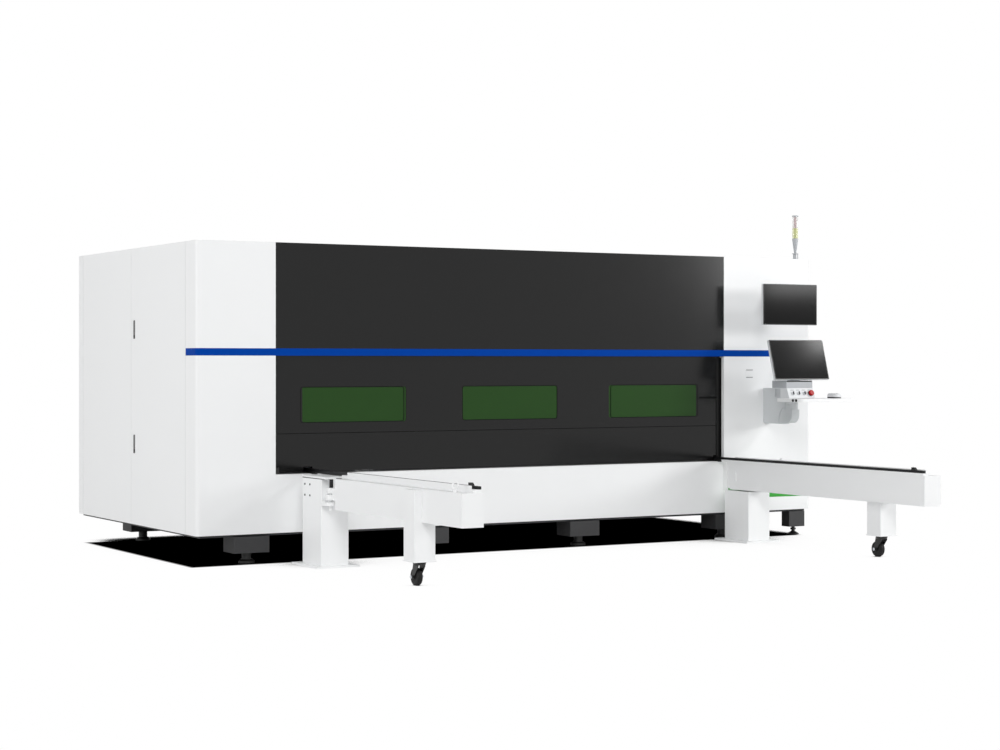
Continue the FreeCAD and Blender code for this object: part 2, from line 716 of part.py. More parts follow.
def left_front_door():
    """Front leaf of the left service doors, with the pockets of the two locks."""
    door = side_tray(PILLAR_WRAP + SEAM, side_middle() - SEAM / 2.0, -1)
    y0, y1 = lock_pocket_y()
    depth = LOCK_DEPTH + SHEET
    for z in LOCK_Z:
        low = z - LOCK_HEIGHT / 2.0
        high = z + LOCK_HEIGHT / 2.0
        cup = block(0, depth, y0 - SHEET, y1 + SHEET, low - SHEET, high + SHEET)
        door = door.fuse(cup)
        door = door.cut(block(-1.0, depth - SHEET, y0, y1, low, high))
    return door


def left_rear_door():
    """Rear leaf of the left service doors."""
    return side_tray(side_middle() + SEAM / 2.0, ENCLOSURE_DEPTH - REAR_WRAP - SEAM, -1)


def flush_lock(z):
    """Flush paddle of a panel lock, turned on a pin at its upper end."""
    y0, y1 = lock_pocket_y()
    low = z - LOCK_HEIGHT / 2.0 + LOCK_GAP
    high = z + LOCK_HEIGHT / 2.0 - LOCK_GAP
    radius = LOCK_DEPTH / 2.0 - LOCK_GAP
    body = block(0, radius, y0 + LOCK_GAP, y1 - LOCK_GAP, low, high - radius)
    knuckle = lying_y(radius, y0 + LOCK_GAP, y1 - LOCK_GAP, high - radius, radius)
    grip = block(-1.0, radius + 1.0, y0 + 8.0, y1 - 8.0, low + 8.0, low + 26.0)
    return fused([body, knuckle]).cut(grip)


def right_side_panel():
    """Fixed right cover with two fields of louvre slots for the electrical cabinet."""
    panel = side_tray(PILLAR_WRAP + SEAM, ENCLOSURE_DEPTH - REAR_WRAP - SEAM, 1)
    outer = ENCLOSURE_LENGTH
    middle_y = CABINET_FRONT + CABINET_DEPTH / 2.0
    for start in (LOCK_Z[0] - 120.0, LOCK_Z[1] - 120.0):
        for row in range(LOUVRE_COUNT):
            z = start + row * LOUVRE_PITCH
            panel = panel.cut(block(outer - SHEET - 1.0, outer + 1.0,
                                    middle_y - LOUVRE_LENGTH / 2.0,
                                    middle_y + LOUVRE_LENGTH / 2.0, z, z + LOUVRE_SLOT))
    return panel


def rear_cover():
    """Rear cover that wraps both back corners, with the hole of the fume duct."""
    depth = ENCLOSURE_DEPTH
    start = depth - REAR_WRAP
    shell = block(0, ENCLOSURE_LENGTH, start, depth, PANEL_BOTTOM, PANEL_TOP)
    corners = [edge for edge in shell.Edges
               if is_upright(edge) and edge.CenterOfMass.y > depth - 1.0]
    shell = shell.makeFillet(CORNER_RADIUS, corners)
    hollow = block(SHEET, ENCLOSURE_LENGTH - SHEET, start - 1.0, depth - SHEET,
                   PANEL_BOTTOM - 1.0, PANEL_TOP - SHEET)
    corners = [edge for edge in hollow.Edges
               if is_upright(edge) and edge.CenterOfMass.y > depth - SHEET - 1.0]
    shell = shell.cut(hollow.makeFillet(CORNER_RADIUS - SHEET, corners))
    upper = block(-1.0 + FOLD, ENCLOSURE_LENGTH + 1.0 - FOLD, start - 1.0, depth - FOLD,
                  PANEL_BOTTOM - 1.0, PANEL_TOP + 1.0)
    shell = shell.cut(upper)
    hole = lying_y(DUCT_X, depth - SHEET - 1.0, depth + 1.0, DUCT_Z, DUCT_RADIUS)
    return shell.cut(hole)


def roof_cover():
    """Roof tray that lies between the top folds of the covers."""
    low_x = FOLD + SEAT
    high_x = ENCLOSURE_LENGTH - FOLD - SEAT
    low_y = PILLAR_RETURN + SEAT
    high_y = ENCLOSURE_DEPTH - FOLD - SEAT
    top = PANEL_TOP - SEAT
    bottom = PANEL_TOP - FRAME_TOP_GAP - FOLD + SEAT
    tray = block(low_x, high_x, low_y, high_y, bottom, top)
    hollow = block(low_x + SHEET, high_x - SHEET, low_y + SHEET, high_y - SHEET,
                   bottom - 1.0, top - SHEET)
    ribs = []
    for fraction in (0.25, 0.75):
        x = low_x + fraction * (high_x - low_x)
        ribs.append(block(x - SHEET, x + SHEET, low_y, high_y, bottom + ROOF_RIB_RISE,
                          top - SHEET))
    return fused([tray.cut(hollow)] + ribs)


def exhaust_collar():
    """Rolled duct spigot with a mounting flange on the rear cover."""
    back = ENCLOSURE_DEPTH
    flange = lying_y(DUCT_X, back + SEAT, back + SEAT + DUCT_WALL, DUCT_Z,
                     DUCT_RADIUS + DUCT_FLANGE)
    tube = lying_y(DUCT_X, back + SEAT, DUCT_BACK, DUCT_Z, DUCT_RADIUS)
    bore = lying_y(DUCT_X, back - 1.0, DUCT_BACK + 1.0, DUCT_Z, DUCT_RADIUS - DUCT_WALL)
    return fused([flange, tube]).cut(bore)


# ------------------------------------------------------------------ lift door and its columns
def door_left():
    """Left edge of the sliding fronts."""
    return OPENING_LEFT + JAMB_WIDTH + DOOR_SIDE_GAP


def door_right():
    """Right edge of the sliding fronts."""
    return OPENING_RIGHT - JAMB_WIDTH - DOOR_SIDE_GAP


def door_top():
    """Upper edge of the lift door, behind the band and the upper panel."""
    return BAND_TOP + DOOR_OVERLAP


def cylinder_place(side):
    """Centre of a lift cylinder: behind the door, just inside the jamb."""
    x = door_left() + CYLINDER_INSET if side < 0 else door_right() - CYLINDER_INSET
    return x, DOOR_SETBACK + DOOR_THICKNESS + CYLINDER_GAP + CYLINDER_RADIUS


def jamb(side):
    """Guide channel of one jamb, open towards the door."""
    top = PANEL_TOP - FRAME_TOP_GAP - FOLD - FRAME_TUBE - SEAT
    slot_low = DOOR_SETBACK + (DOOR_THICKNESS - TONGUE_THICKNESS) / 2.0 - 2.0
    slot_high = slot_low + TONGUE_THICKNESS + 4.0
    front = DOOR_SETBACK - 0.5
    x0 = OPENING_LEFT + SEAT if side < 0 else OPENING_RIGHT - JAMB_WIDTH
    x1 = OPENING_LEFT + JAMB_WIDTH if side < 0 else OPENING_RIGHT - SEAT
    channel = block(x0, x1, front, front + JAMB_DEPTH, OPENING_SILL + SEAT, top)
    slot_x0 = x0 + JAMB_WALL if side < 0 else x0 - 1.0
    slot_x1 = x1 + 1.0 if side < 0 else x1 - JAMB_WALL
    slot = block(slot_x0, slot_x1, slot_low, slot_high, DOOR_BOTTOM - 12.0, top + 1.0)
    channel = channel.cut(slot)
    if side < 0:
        corner = block(x1, x1 + CORNER_BLOCK_WIDTH - JAMB_WIDTH, front,
                       front + CORNER_BLOCK_DEPTH, OPENING_SILL + SEAT,
                       OPENING_SILL + CORNER_BLOCK_HEIGHT)
        channel = channel.fuse(corner)
    return channel


def lift_barrel(side):
    """Barrel of one pneumatic lift cylinder, with its two brackets on the jamb."""
    x, y = cylinder_place(side)
    low = door_top() - DOOR_TRAVEL - 40.0
    high = door_top() - 10.0
    barrel = upright(x, y, low, high, CYLINDER_RADIUS)
    edge = door_left() - DOOR_SIDE_GAP - 1.0 if side < 0 else door_right() + DOOR_SIDE_GAP + 1.0
    back = DOOR_SETBACK + JAMB_DEPTH - 0.5
    for z in (low + 20.0, high - 60.0):
        bracket = block(min(edge, x), max(edge, x), back - 12.0, back, z, z + 30.0)
        barrel = barrel.fuse(bracket)
    return barrel.cut(upright(x, y, low + 12.0, door_top(), ROD_RADIUS + ROD_BORE_GAP))


def door_columns():
    """Black guide channels at both jambs with their lift cylinders and the sill strips."""
    solids = [fused([jamb(side), lift_barrel(side)]) for side in (-1, 1)]
    stops = [OPENING_LEFT + JAMB_WIDTH + SEAT]
    for low, high in inner_bar_spans():
        stops += [low - SEAT, high + SEAT]
    stops.append(OPENING_RIGHT - JAMB_WIDTH - SEAT)
    back = DOOR_SETBACK + JAMB_DEPTH
    front = DOOR_SETBACK - 0.5 + CORNER_BLOCK_DEPTH + SEAT
    for low, high in zip(stops[0::2], stops[1::2]):
        solids.append(block(low, high, front, back, OPENING_SILL + SEAT,
                            OPENING_SILL + SILL_HEIGHT))
    return group(solids)


def lift_door():
    """Dark lifting front with three window openings, guide tongues and a stiffening frame."""
    left = door_left()
    right = door_right()
    front = DOOR_SETBACK
    back = front + DOOR_THICKNESS
    bottom = DOOR_BOTTOM + SEAM / 2.0
    panel = block(left, right, front, back, bottom, door_top())
    recess = block(left + 30.0, right - 30.0, front + 8.0, back + 1.0, bottom + 30.0,
                   door_top() - 30.0)
    panel = panel.cut(recess)
    pads = []
    cuts = []
    for x0, x1 in window_spans():
        rim = WINDOW_REBATE + 8.0
        pads.append(block(x0 - rim, x1 + rim, front + 1.0, back, WINDOW_BOTTOM - rim,
                          WINDOW_BOTTOM + WINDOW_HEIGHT + rim))
        cuts.append(rounded_window(x0, x1, front - 1.0, back + 1.0, WINDOW_BOTTOM,
                                   WINDOW_BOTTOM + WINDOW_HEIGHT, WINDOW_RADIUS))
        cuts.append(block(x0 - WINDOW_REBATE, x1 + WINDOW_REBATE, back - WINDOW_GLASS,
                          back + 1.0, WINDOW_BOTTOM - WINDOW_REBATE,
                          WINDOW_BOTTOM + WINDOW_HEIGHT + WINDOW_REBATE))
    mid = front + DOOR_THICKNESS / 2.0
    tongues = []
    for side in (-1, 1):
        x0 = left - TONGUE_REACH if side < 0 else right - 1.0
        x1 = left + 1.0 if side < 0 else right + TONGUE_REACH
        tongues.append(block(x0, x1, mid - TONGUE_THICKNESS / 2.0, mid + TONGUE_THICKNESS / 2.0,
                             bottom, door_top()))
    door = fused([panel] + pads + tongues)
    for cut in cuts:
        door = door.cut(cut)
    return group([door] + [lift_rod(side) for side in (-1, 1)])


def lift_rod(side):
    """Piston rod of one lift cylinder with the eye plate screwed to the back of the door."""
    x, y = cylinder_place(side)
    low = door_top() - DOOR_TRAVEL - ROD_SPARE
    back = DOOR_SETBACK + DOOR_THICKNESS
    rod = upright(x, y, low, door_top(), ROD_RADIUS)
    half = ROD_PLATE_WIDTH / 2.0
    eye = block(x - half, x + half, back + SEAT, y + ROD_RADIUS, door_top() - ROD_PLATE,
                door_top())
    return fused([rod, eye])


def window_spans():
    """Left and right edge of each window."""
    first = door_left() + WINDOW_SIDE_INSET + WINDOW_WIDTH / 2.0
    last = door_right() - WINDOW_SIDE_INSET - WINDOW_WIDTH / 2.0
    pitch = (last - first) / (WINDOW_COUNT - 1)
    middles = [first + index * pitch for index in range(WINDOW_COUNT)]
    return [(middle - WINDOW_WIDTH / 2.0, middle + WINDOW_WIDTH / 2.0) for middle in middles]


def door_windows():
    """Green laser-safe panes, each set in its rebate with a raised centre."""
    back = DOOR_SETBACK + DOOR_THICKNESS
    panes = []
    gap = SEAT
    for x0, x1 in window_spans():
        plate = block(x0 - WINDOW_REBATE + gap, x1 + WINDOW_REBATE - gap,
                      back - WINDOW_GLASS + gap, back, WINDOW_BOTTOM - WINDOW_REBATE + gap,
                      WINDOW_BOTTOM + WINDOW_HEIGHT + WINDOW_REBATE - gap)
        face = rounded_window(x0 + gap, x1 - gap, DOOR_SETBACK + 2.0, back - 1.0,
                              WINDOW_BOTTOM + gap, WINDOW_BOTTOM + WINDOW_HEIGHT - gap,
                              WINDOW_RADIUS)
        panes.append(fused([plate, face]))
    return group(panes)


# ------------------------------------------------------------------ table rails
def bar_spans():
    """Left and right edge of the bar under the left and the right rail."""
    outward = RAIL_BAR_WIDTH - RAIL_BAR_LIP
    return ((RAIL_GAUGE_LEFT - outward, RAIL_GAUGE_LEFT + RAIL_BAR_LIP),
            (RAIL_GAUGE_RIGHT - RAIL_BAR_LIP, RAIL_GAUGE_RIGHT + outward))


def inner_bar_spans():
    """Left and right edge of the narrower bar under each inner rail."""
    return [(rail_x - RAIL_BAR_LIP, rail_x + RAIL_BAR_LIP)
            for rail_x in (RAIL_GAUGE_LEFT, RAIL_GAUGE_RIGHT)]


def table_rails():
    """Inner rails on webs and feet; the left one runs on over its post to the arm."""
    solids = []
    half = RAIL_WIDTH / 2.0
    spans = zip((RAIL_GAUGE_LEFT, RAIL_GAUGE_RIGHT), inner_bar_spans())
    for rail_x, (low, high) in spans:
        pieces = [block(low, high, INNER_RAIL_FRONT, INNER_RAIL_BACK, RAIL_BAR_BOTTOM,
                        RAIL_BASE),
                  block(rail_x - half, rail_x + half, INNER_RAIL_FRONT, INNER_RAIL_BACK,
                        RAIL_BASE, RAIL_TOP),
                  block(low, high, DOOR_SETBACK + JAMB_DEPTH + SEAT, INNER_RAIL_BACK,
                        RAIL_BAR_BOTTOM - RAIL_WEB, RAIL_BAR_BOTTOM)]
        front = BED_INSET + BED_MEMBER_WIDTH / 2.0
        for y in (front, INNER_RAIL_BACK - RAIL_FOOT):
            pieces.append(block(low, high, y, y + RAIL_FOOT, rail_foot_z(y), RAIL_BAR_BOTTOM))
        if rail_x == RAIL_GAUGE_LEFT:
            pieces.append(block(rail_x - half, rail_x + half, link_front(), INNER_RAIL_FRONT,
                                LEFT_POST_TOP + POST_CAP + SEAT, RAIL_TOP))
        solids.append(fused(pieces))
    return group(solids)


def rail_foot_z(y):
    """Height a rail foot stands on: the bed itself, or the floor of the scrap tray."""
    on_tray = y > TABLE_FRONT
    return BED_TOP + SEAT + TRAY_SHEET + SEAT if on_tray else BED_TOP + SEAT


def link_front():
    """Front end of the link strip, just behind the left hinge pin's front."""
    return LEFT_PIN_Y - 6.0


# ------------------------------------------------------------------ drawer table
def table_side_x():
    """Inner and outer X of the two side tubes of the table."""
    reach = WHEEL_WIDTH / 2.0 + FLANGE_WIDTH + WHEEL_TUBE_GAP
    left = RAIL_GAUGE_LEFT + reach
    right = RAIL_GAUGE_RIGHT - reach
    return (left, left + TABLE_TUBE), (right - TABLE_TUBE, right)


def wheel_places():
    """Rail X, Y and side of the four table wheels."""
    front = TABLE_FRONT + WHEEL_INSET
    back = TABLE_BACK - WHEEL_INSET
    return {"left_front": (RAIL_GAUGE_LEFT, front, 1), "left_rear": (RAIL_GAUGE_LEFT, back, 1),
            "right_front": (RAIL_GAUGE_RIGHT, front, -1),
            "right_rear": (RAIL_GAUGE_RIGHT, back, -1)}


def wheel_z():
    """Height of the wheel axles."""
    return RAIL_TOP + RUNNING_GAP + WHEEL_RADIUS


def slat_places():
    """X of each slat, spread evenly between the side tubes."""
    (_, low), (high, _) = table_side_x()
    count = int((high - low - 60.0) // SLAT_PITCH) + 1
    start = (low + high - (count - 1) * SLAT_PITCH) / 2.0
    return [start + index * SLAT_PITCH for index in range(count)]


def comb_plate(y0):
    """Slotted plate that holds the slats upright."""
    (_, low), (high, _) = table_side_x()
    comb = block(low, high, y0, y0 + COMB_THICKNESS, TUBE_TOP, TUBE_TOP + COMB_HEIGHT)
    half = SLAT_THICKNESS / 2.0 + COMB_SLOT_GAP
    slots = [block(x - half, x + half, y0 - 1.0, y0 + COMB_THICKNESS + 1.0, SLAT_BOTTOM,
                   TUBE_TOP + COMB_HEIGHT + 1.0) for x in slat_places()]
    return comb.cut(slots)


def table_frame():
    """Welded tube frame with wheel axles and the slotted combs of the slats."""
    (left_out, left_in), (right_in, right_out) = table_side_x()
    front_tie = DOOR_SETBACK + DRAWER_THICKNESS
    low = TABLE_TUBE_BOTTOM
    members = [block(left_out, left_in, front_tie, TABLE_BACK, low, TUBE_TOP),
               block(right_in, right_out, front_tie, TABLE_BACK, low, TUBE_TOP)]
    pitch = (TABLE_DEPTH - TABLE_TUBE) / (TABLE_CROSS_COUNT - 1)
    cross_y = [TABLE_FRONT + index * pitch for index in range(TABLE_CROSS_COUNT)]
    for y in cross_y:
        members.append(block(left_in, right_in, y, y + TABLE_TUBE, low, TUBE_TOP))
    middle = (left_in + right_in) / 2.0
    for y, following in zip(cross_y, cross_y[1:]):
        members.append(block(middle - TABLE_TUBE / 2.0, middle + TABLE_TUBE / 2.0,
                             y + TABLE_TUBE, following, low, TUBE_TOP))
    for y in (TABLE_FRONT + COMB_INSET, TABLE_BACK - COMB_INSET - COMB_THICKNESS):
        members.append(comb_plate(y))
    for rail_x, y, side in wheel_places().values():
        tube_x = left_out if side > 0 else right_out
        far_x = rail_x - side * (WHEEL_WIDTH / 2.0 + AXLE_REACH)
        members.append(lying_x(min(tube_x, far_x), max(tube_x, far_x), y, wheel_z(),
                               AXLE_RADIUS - AXLE_FIT))
    return group(members)


def slat_outline(y0, y1):
    """Side outline of a slat: flat foot, saw-toothed top with blunt tips."""
    points = [(y1, SLAT_BOTTOM), (y0, SLAT_BOTTOM)]
    count = int((y1 - y0) // SLAT_TOOTH_PITCH)
    pitch = (y1 - y0) / count
    for index in range(count):
        start = y0 + index * pitch
        points.append((start, SLAT_TOP - SLAT_TOOTH_DEPTH))
        points.append((start + (pitch - SLAT_TIP) / 2.0, SLAT_TOP))
        points.append((start + (pitch + SLAT_TIP) / 2.0, SLAT_TOP))
    points.append((y1, SLAT_TOP - SLAT_TOOTH_DEPTH))
    return points


def table_slats():
    """The row of saw-toothed support slats."""
    profile = slat_outline(TABLE_FRONT + 4.0, TABLE_BACK - 4.0)
    half = SLAT_THICKNESS / 2.0
    return group([prism_x(profile, x - half, x + half) for x in slat_places()])


def drawer_front():
    """Dark front of the drawer table: folded plate over closing strips beside the rails."""
    bottom = OPENING_SILL + SILL_HEIGHT + DRAWER_GAP
    split = OPENING_SILL + CORNER_BLOCK_HEIGHT + DRAWER_GAP
    top = DOOR_BOTTOM - SEAM / 2.0
    back = DOOR_SETBACK + DRAWER_THICKNESS
    plate = block(door_left(), door_right(), DOOR_SETBACK, back, split, top)
    (_, low), (high, _) = table_side_x()
    hollow = block(low + TRAY_SIDE_GAP, high - TRAY_SIDE_GAP, DOOR_SETBACK + SHEET, back + 1.0,
                   split, top - DRAWER_RIM)
    pieces = [plate.cut(hollow)]
    (left_low, left_high), (right_low, _) = bar_spans()
    first = OPENING_LEFT + CORNER_BLOCK_WIDTH + DOOR_SIDE_GAP
    strips = ((first, left_low - DRAWER_NOTCH_GAP),
              (left_high + DRAWER_NOTCH_GAP, right_low - DRAWER_NOTCH_GAP))
    for low, high in strips:
        pieces.append(block(low, high, DOOR_SETBACK, back, bottom, split))
    return group(pieces)


def table_wheel(place):
    """Steel wheel: bored tread with a turned face, and the flange ring screwed against it."""
    rail_x, y, side = place
    z = wheel_z()
    half = WHEEL_WIDTH / 2.0
    bore = lying_x(rail_x - 3.0 * half, rail_x + 3.0 * half, y, z, AXLE_RADIUS)
    tread = lying_x(rail_x - half, rail_x + half, y, z, WHEEL_RADIUS)
    groove_x = rail_x - half if side > 0 else rail_x + half - WHEEL_GROOVE
    ring = lying_x(groove_x, groove_x + WHEEL_GROOVE, y, z, WHEEL_RADIUS - WHEEL_RIM)
    hub = lying_x(groove_x, groove_x + WHEEL_GROOVE, y, z, AXLE_RADIUS + WHEEL_HUB)
    flange_x = rail_x + half if side > 0 else rail_x - half - FLANGE_WIDTH
    flange = lying_x(flange_x, flange_x + FLANGE_WIDTH, y, z, WHEEL_RADIUS + FLANGE_HEIGHT)
    return group([tread.cut(ring.cut(hub)).cut(bore), flange.cut(bore)])


# ------------------------------------------------------------------ gantry, carriage and head
def gantry_rails():
    """Guide rails with their racks on the side beams."""
    solids = []
    back = ENCLOSURE_DEPTH - BED_INSET - SUPPORT_WALL_GAP
    front = SUPPORT_FRONT
    for x in (SUPPORT_LEFT_X, SUPPORT_RIGHT_X):
        middle = x + SUPPORT_WIDTH / 2.0
        half = GANTRY_RAIL_WIDTH / 2.0
        z0 = SUPPORT_TOP + SEAT
        head = block(middle - half, middle + half, front, back, z0 + 12.0,
                     z0 + GANTRY_RAIL_HEIGHT)
        waist = block(middle - half + 6.0, middle + half - 6.0, front, back, z0, z0 + 12.0)
        rack = block(middle - half - RACK_WIDTH, middle - half + 6.0, front, back, z0,
                     z0 + 10.0)
        solids.append(fused([head, waist, rack]))
    return group(solids)


def gantry_block_z():
    """Underside and top of the gantry end blocks."""
    low = SUPPORT_TOP + 16.0
    return low, low + GANTRY_BLOCK_HEIGHT


def gantry_beam():
    """Hollow cross beam with end blocks that ride the side rails, and two front rails."""
    low, high = gantry_block_z()
    solids = []
    y0 = BEAM_CENTRE_Y - GANTRY_BLOCK_LENGTH / 2.0
    y1 = BEAM_CENTRE_Y + GANTRY_BLOCK_LENGTH / 2.0
    for x in (SUPPORT_LEFT_X, SUPPORT_RIGHT_X):
        end = block(x + 4.0, x + SUPPORT_WIDTH - 4.0, y0, y1, low, high)
        middle = x + SUPPORT_WIDTH / 2.0
        half = GANTRY_RAIL_WIDTH / 2.0 + SLIDE_GAP
        top = SUPPORT_TOP + SEAT + GANTRY_RAIL_HEIGHT + SLIDE_GAP
        end = end.cut(block(middle - half, middle + half, y0 - 1.0, y1 + 1.0, low - 1.0, top))
        solids.append(end)
    front = BEAM_CENTRE_Y - BEAM_DEPTH / 2.0
    back = BEAM_CENTRE_Y + BEAM_DEPTH / 2.0
    left = SUPPORT_LEFT_X + 4.0
    right = SUPPORT_RIGHT_X + SUPPORT_WIDTH - 4.0
    beam = block(left, right, front, back, high, high + BEAM_HEIGHT)
    wall = BEAM_WALL
    solids.append(beam.cut(block(left + wall, right - wall, front + wall, back - wall,
                                 high + wall, high + BEAM_HEIGHT - wall)))
    for z in beam_rail_z():
        solids.append(block(left + 60.0, right - 60.0, front - BEAM_RAIL, front, z,
                            z + BEAM_RAIL))
    return fused(solids)


def beam_rail_z():
    """Undersides of the two rails on the front of the beam."""
    _, high = gantry_block_z()
    return high + 20.0, high + BEAM_HEIGHT - 20.0 - BEAM_RAIL


def gantry_motors():
    """Servo motors standing on the beam ends."""
    _, high = gantry_block_z()
    base = high + BEAM_HEIGHT
    solids = []
    for x in (SUPPORT_LEFT_X, SUPPORT_RIGHT_X):
        middle = x + SUPPORT_WIDTH / 2.0
        half = (SUPPORT_WIDTH - 8.0) / 2.0
        body = rounded_plate(middle - half, middle + half, BEAM_CENTRE_Y - MOTOR_SIZE / 2.0,
                             BEAM_CENTRE_Y + MOTOR_SIZE / 2.0, base + SEAT,
                             base + MOTOR_LENGTH, 12.0)
        solids.append(body)
    return group(solids)


def carriage_front():
    """Y of the carriage's front face."""
    return BEAM_CENTRE_Y - BEAM_DEPTH / 2.0 - BEAM_RAIL - SLIDE_GAP - CARRIAGE_THICKNESS


def head_carriage():
    """Carriage plate with grooved shoes that ride the beam rails, and its upper cover."""
    _, high = gantry_block_z()
    low_z = high - 20.0
    x0 = CARRIAGE_START_X - CARRIAGE_WIDTH / 2.0
    x1 = CARRIAGE_START_X + CARRIAGE_WIDTH / 2.0
    y0 = carriage_front()
    y1 = y0 + CARRIAGE_THICKNESS
    plate = block(x0, x1, y0, y1, low_z, low_z + CARRIAGE_HEIGHT)
    shoes = []
    for z in beam_rail_z():
        shoe = block(x0 + 10.0, x1 - 10.0, y1 - 1.0, y1 + BEAM_RAIL - 4.0, z - 14.0,
                     z + BEAM_RAIL + 14.0)
        slot = block(x0, x1, y1 - 1.0, y1 + BEAM_RAIL, z - SLIDE_GAP,
                     z + BEAM_RAIL + SLIDE_GAP)
        shoes.append(shoe.cut(slot))
    top = low_z + CARRIAGE_HEIGHT
    cover = rounded_plate(x0 + 30.0, x1 - 30.0, y0 + 6.0 - 110.0, y0 + 6.0, top - 30.0,
                          top + 60.0, 3.0)
    return fused([plate, cover] + shoes)


def head_axis_y():
    """Y of the cutting head's axis."""
    return carriage_front() - SLIDE_GAP - HEAD_PLATE - HEAD_RADIUS + HEAD_BITE


def cutting_head():
    """Cutting head: slide plate, stepped turned body, lens drawer and nozzle."""
    y = head_axis_y()
    x = CARRIAGE_START_X
    tip = SLAT_TOP + HEAD_TIP_GAP
    outline = [(share * HEAD_RADIUS, tip + rise) for share, rise in HEAD_PROFILE]
    body = turned(outline, x, y)
    back = carriage_front() - SLIDE_GAP
    half = HEAD_PLATE_WIDTH / 2.0
    low, high = HEAD_PLATE_Z
    plate = block(x - half, x + half, back - HEAD_PLATE, back, tip + low, tip + high)
    half = HEAD_BRIDGE_WIDTH / 2.0
    low, high = HEAD_BRIDGE_Z
    bridge = block(x - half, x + half, y, back - HEAD_PLATE / 2.0, tip + low, tip + high)
    half = HEAD_DRAWER_DEPTH / 2.0
    left, right = HEAD_DRAWER_REACH
    low, high = HEAD_DRAWER_Z
    drawer = block(x - left, x + right, y - half, y + half, tip + low, tip + high)
    return fused([body, plate, bridge, drawer])


# ------------------------------------------------------------------ posts and arms
def base_bolt_places(post_x, post_front):
    """Centres of the anchor holes round a post."""
    x0 = post_x - BASE_MARGIN + BOLT_INSET
    x1 = post_x + POST_WIDTH + BASE_MARGIN - BOLT_INSET
    y0 = post_front - BASE_MARGIN + BOLT_INSET
    y1 = post_front + POST_DEPTH + BASE_MARGIN - BOLT_INSET
    return [(x, y) for x in (x0, x1) for y in (y0, y1)]


def post(post_x, post_front, top, overhang):
    """Square floor post: drilled base plate, hollow column and cap plate."""
    x1 = post_x + POST_WIDTH
    y1 = post_front + POST_DEPTH
    plate = block(post_x - BASE_MARGIN, x1 + BASE_MARGIN, post_front - BASE_MARGIN,
                  y1 + BASE_MARGIN, 0, BASE_PLATE)
    for x, y in base_bolt_places(post_x, post_front):
        plate = plate.cut(upright(x, y, -1.0, BASE_PLATE + 1.0, BOLT_HOLE_RADIUS))
    column = rounded_plate(post_x, x1, post_front, y1, BASE_PLATE, top, 6.0)
    column = square_tube(column, POST_WALL, "z")
    cap = block(post_x, x1, post_front - overhang, y1, top, top + POST_CAP)
    return fused([plate, column, cap])


def left_post():
    """Tall left post with the lower hinge lug, and the pin held between lug and cap."""
    overhang = LEFT_POST_FRONT - LEFT_PIN_Y + PIN_RADIUS * 2.0
    body = post(LEFT_POST_X, LEFT_POST_FRONT, LEFT_POST_TOP, overhang)
    relief = block(LEFT_PIN_X + PIN_RADIUS * 2.0, LEFT_POST_X + POST_WIDTH + 1.0,
                   LEFT_POST_FRONT - overhang - 1.0, LEFT_POST_FRONT,
                   LEFT_POST_TOP - 1.0, LEFT_POST_TOP + POST_CAP + 1.0)
    body = body.cut(relief)
    lug = upright(LEFT_PIN_X, LEFT_PIN_Y, LUG_BOTTOM, LUG_BOTTOM + LUG_HEIGHT, LUG_RADIUS)
    web = block(LEFT_PIN_X - LUG_RADIUS, LEFT_PIN_X + LUG_RADIUS, LEFT_PIN_Y,
                LEFT_POST_FRONT + 1.0, LUG_BOTTOM, LUG_BOTTOM + LUG_HEIGHT)
    pin = upright(LEFT_PIN_X, LEFT_PIN_Y, LUG_BOTTOM - 30.0, LEFT_POST_TOP + 1.0, PIN_RADIUS)
    return fused([body, lug, web, pin])


def right_post():
    """Low right post whose cap plate carries the hinge pin beside the arm."""
    body = post(RIGHT_POST_X, RIGHT_POST_FRONT, RIGHT_POST_TOP, 0.0)
    cap_top = RIGHT_POST_TOP + POST_CAP
    pin = upright(RIGHT_PIN_X, RIGHT_PIN_Y, cap_top - 1.0, UPPER_BARREL_BOTTOM + BARREL_HEIGHT + 6.0,
                  PIN_RADIUS)
    collar = upright(RIGHT_PIN_X, RIGHT_PIN_Y, cap_top - 1.0, MIDDLE_BARREL_BOTTOM - WASHER_GAP,
                     PIN_RADIUS + 7.0)
    return fused([body, pin, collar])


def arm_bar(span, outer_side, arm_back, back):
    """Flat bar under an arm's rail and the guard strip along its outer edge."""
    bar_low, bar_high = span
    bar_out = bar_low if outer_side < 0 else bar_high
    front = ARM_FRONT + RAIL_FRONT_INSET
    bar = block(bar_low, bar_high, front, back, ARM_TOP, ARM_TOP + RAIL_BAR_HEIGHT)
    guard_in = bar_out - outer_side * GUARD_THICKNESS
    guard = block(min(guard_in, bar_out), max(guard_in, bar_out), front + GUARD_INSET, arm_back,
                  ARM_TOP + RAIL_BAR_HEIGHT, ARM_TOP + GUARD_HEIGHT)
    return [bar, guard]


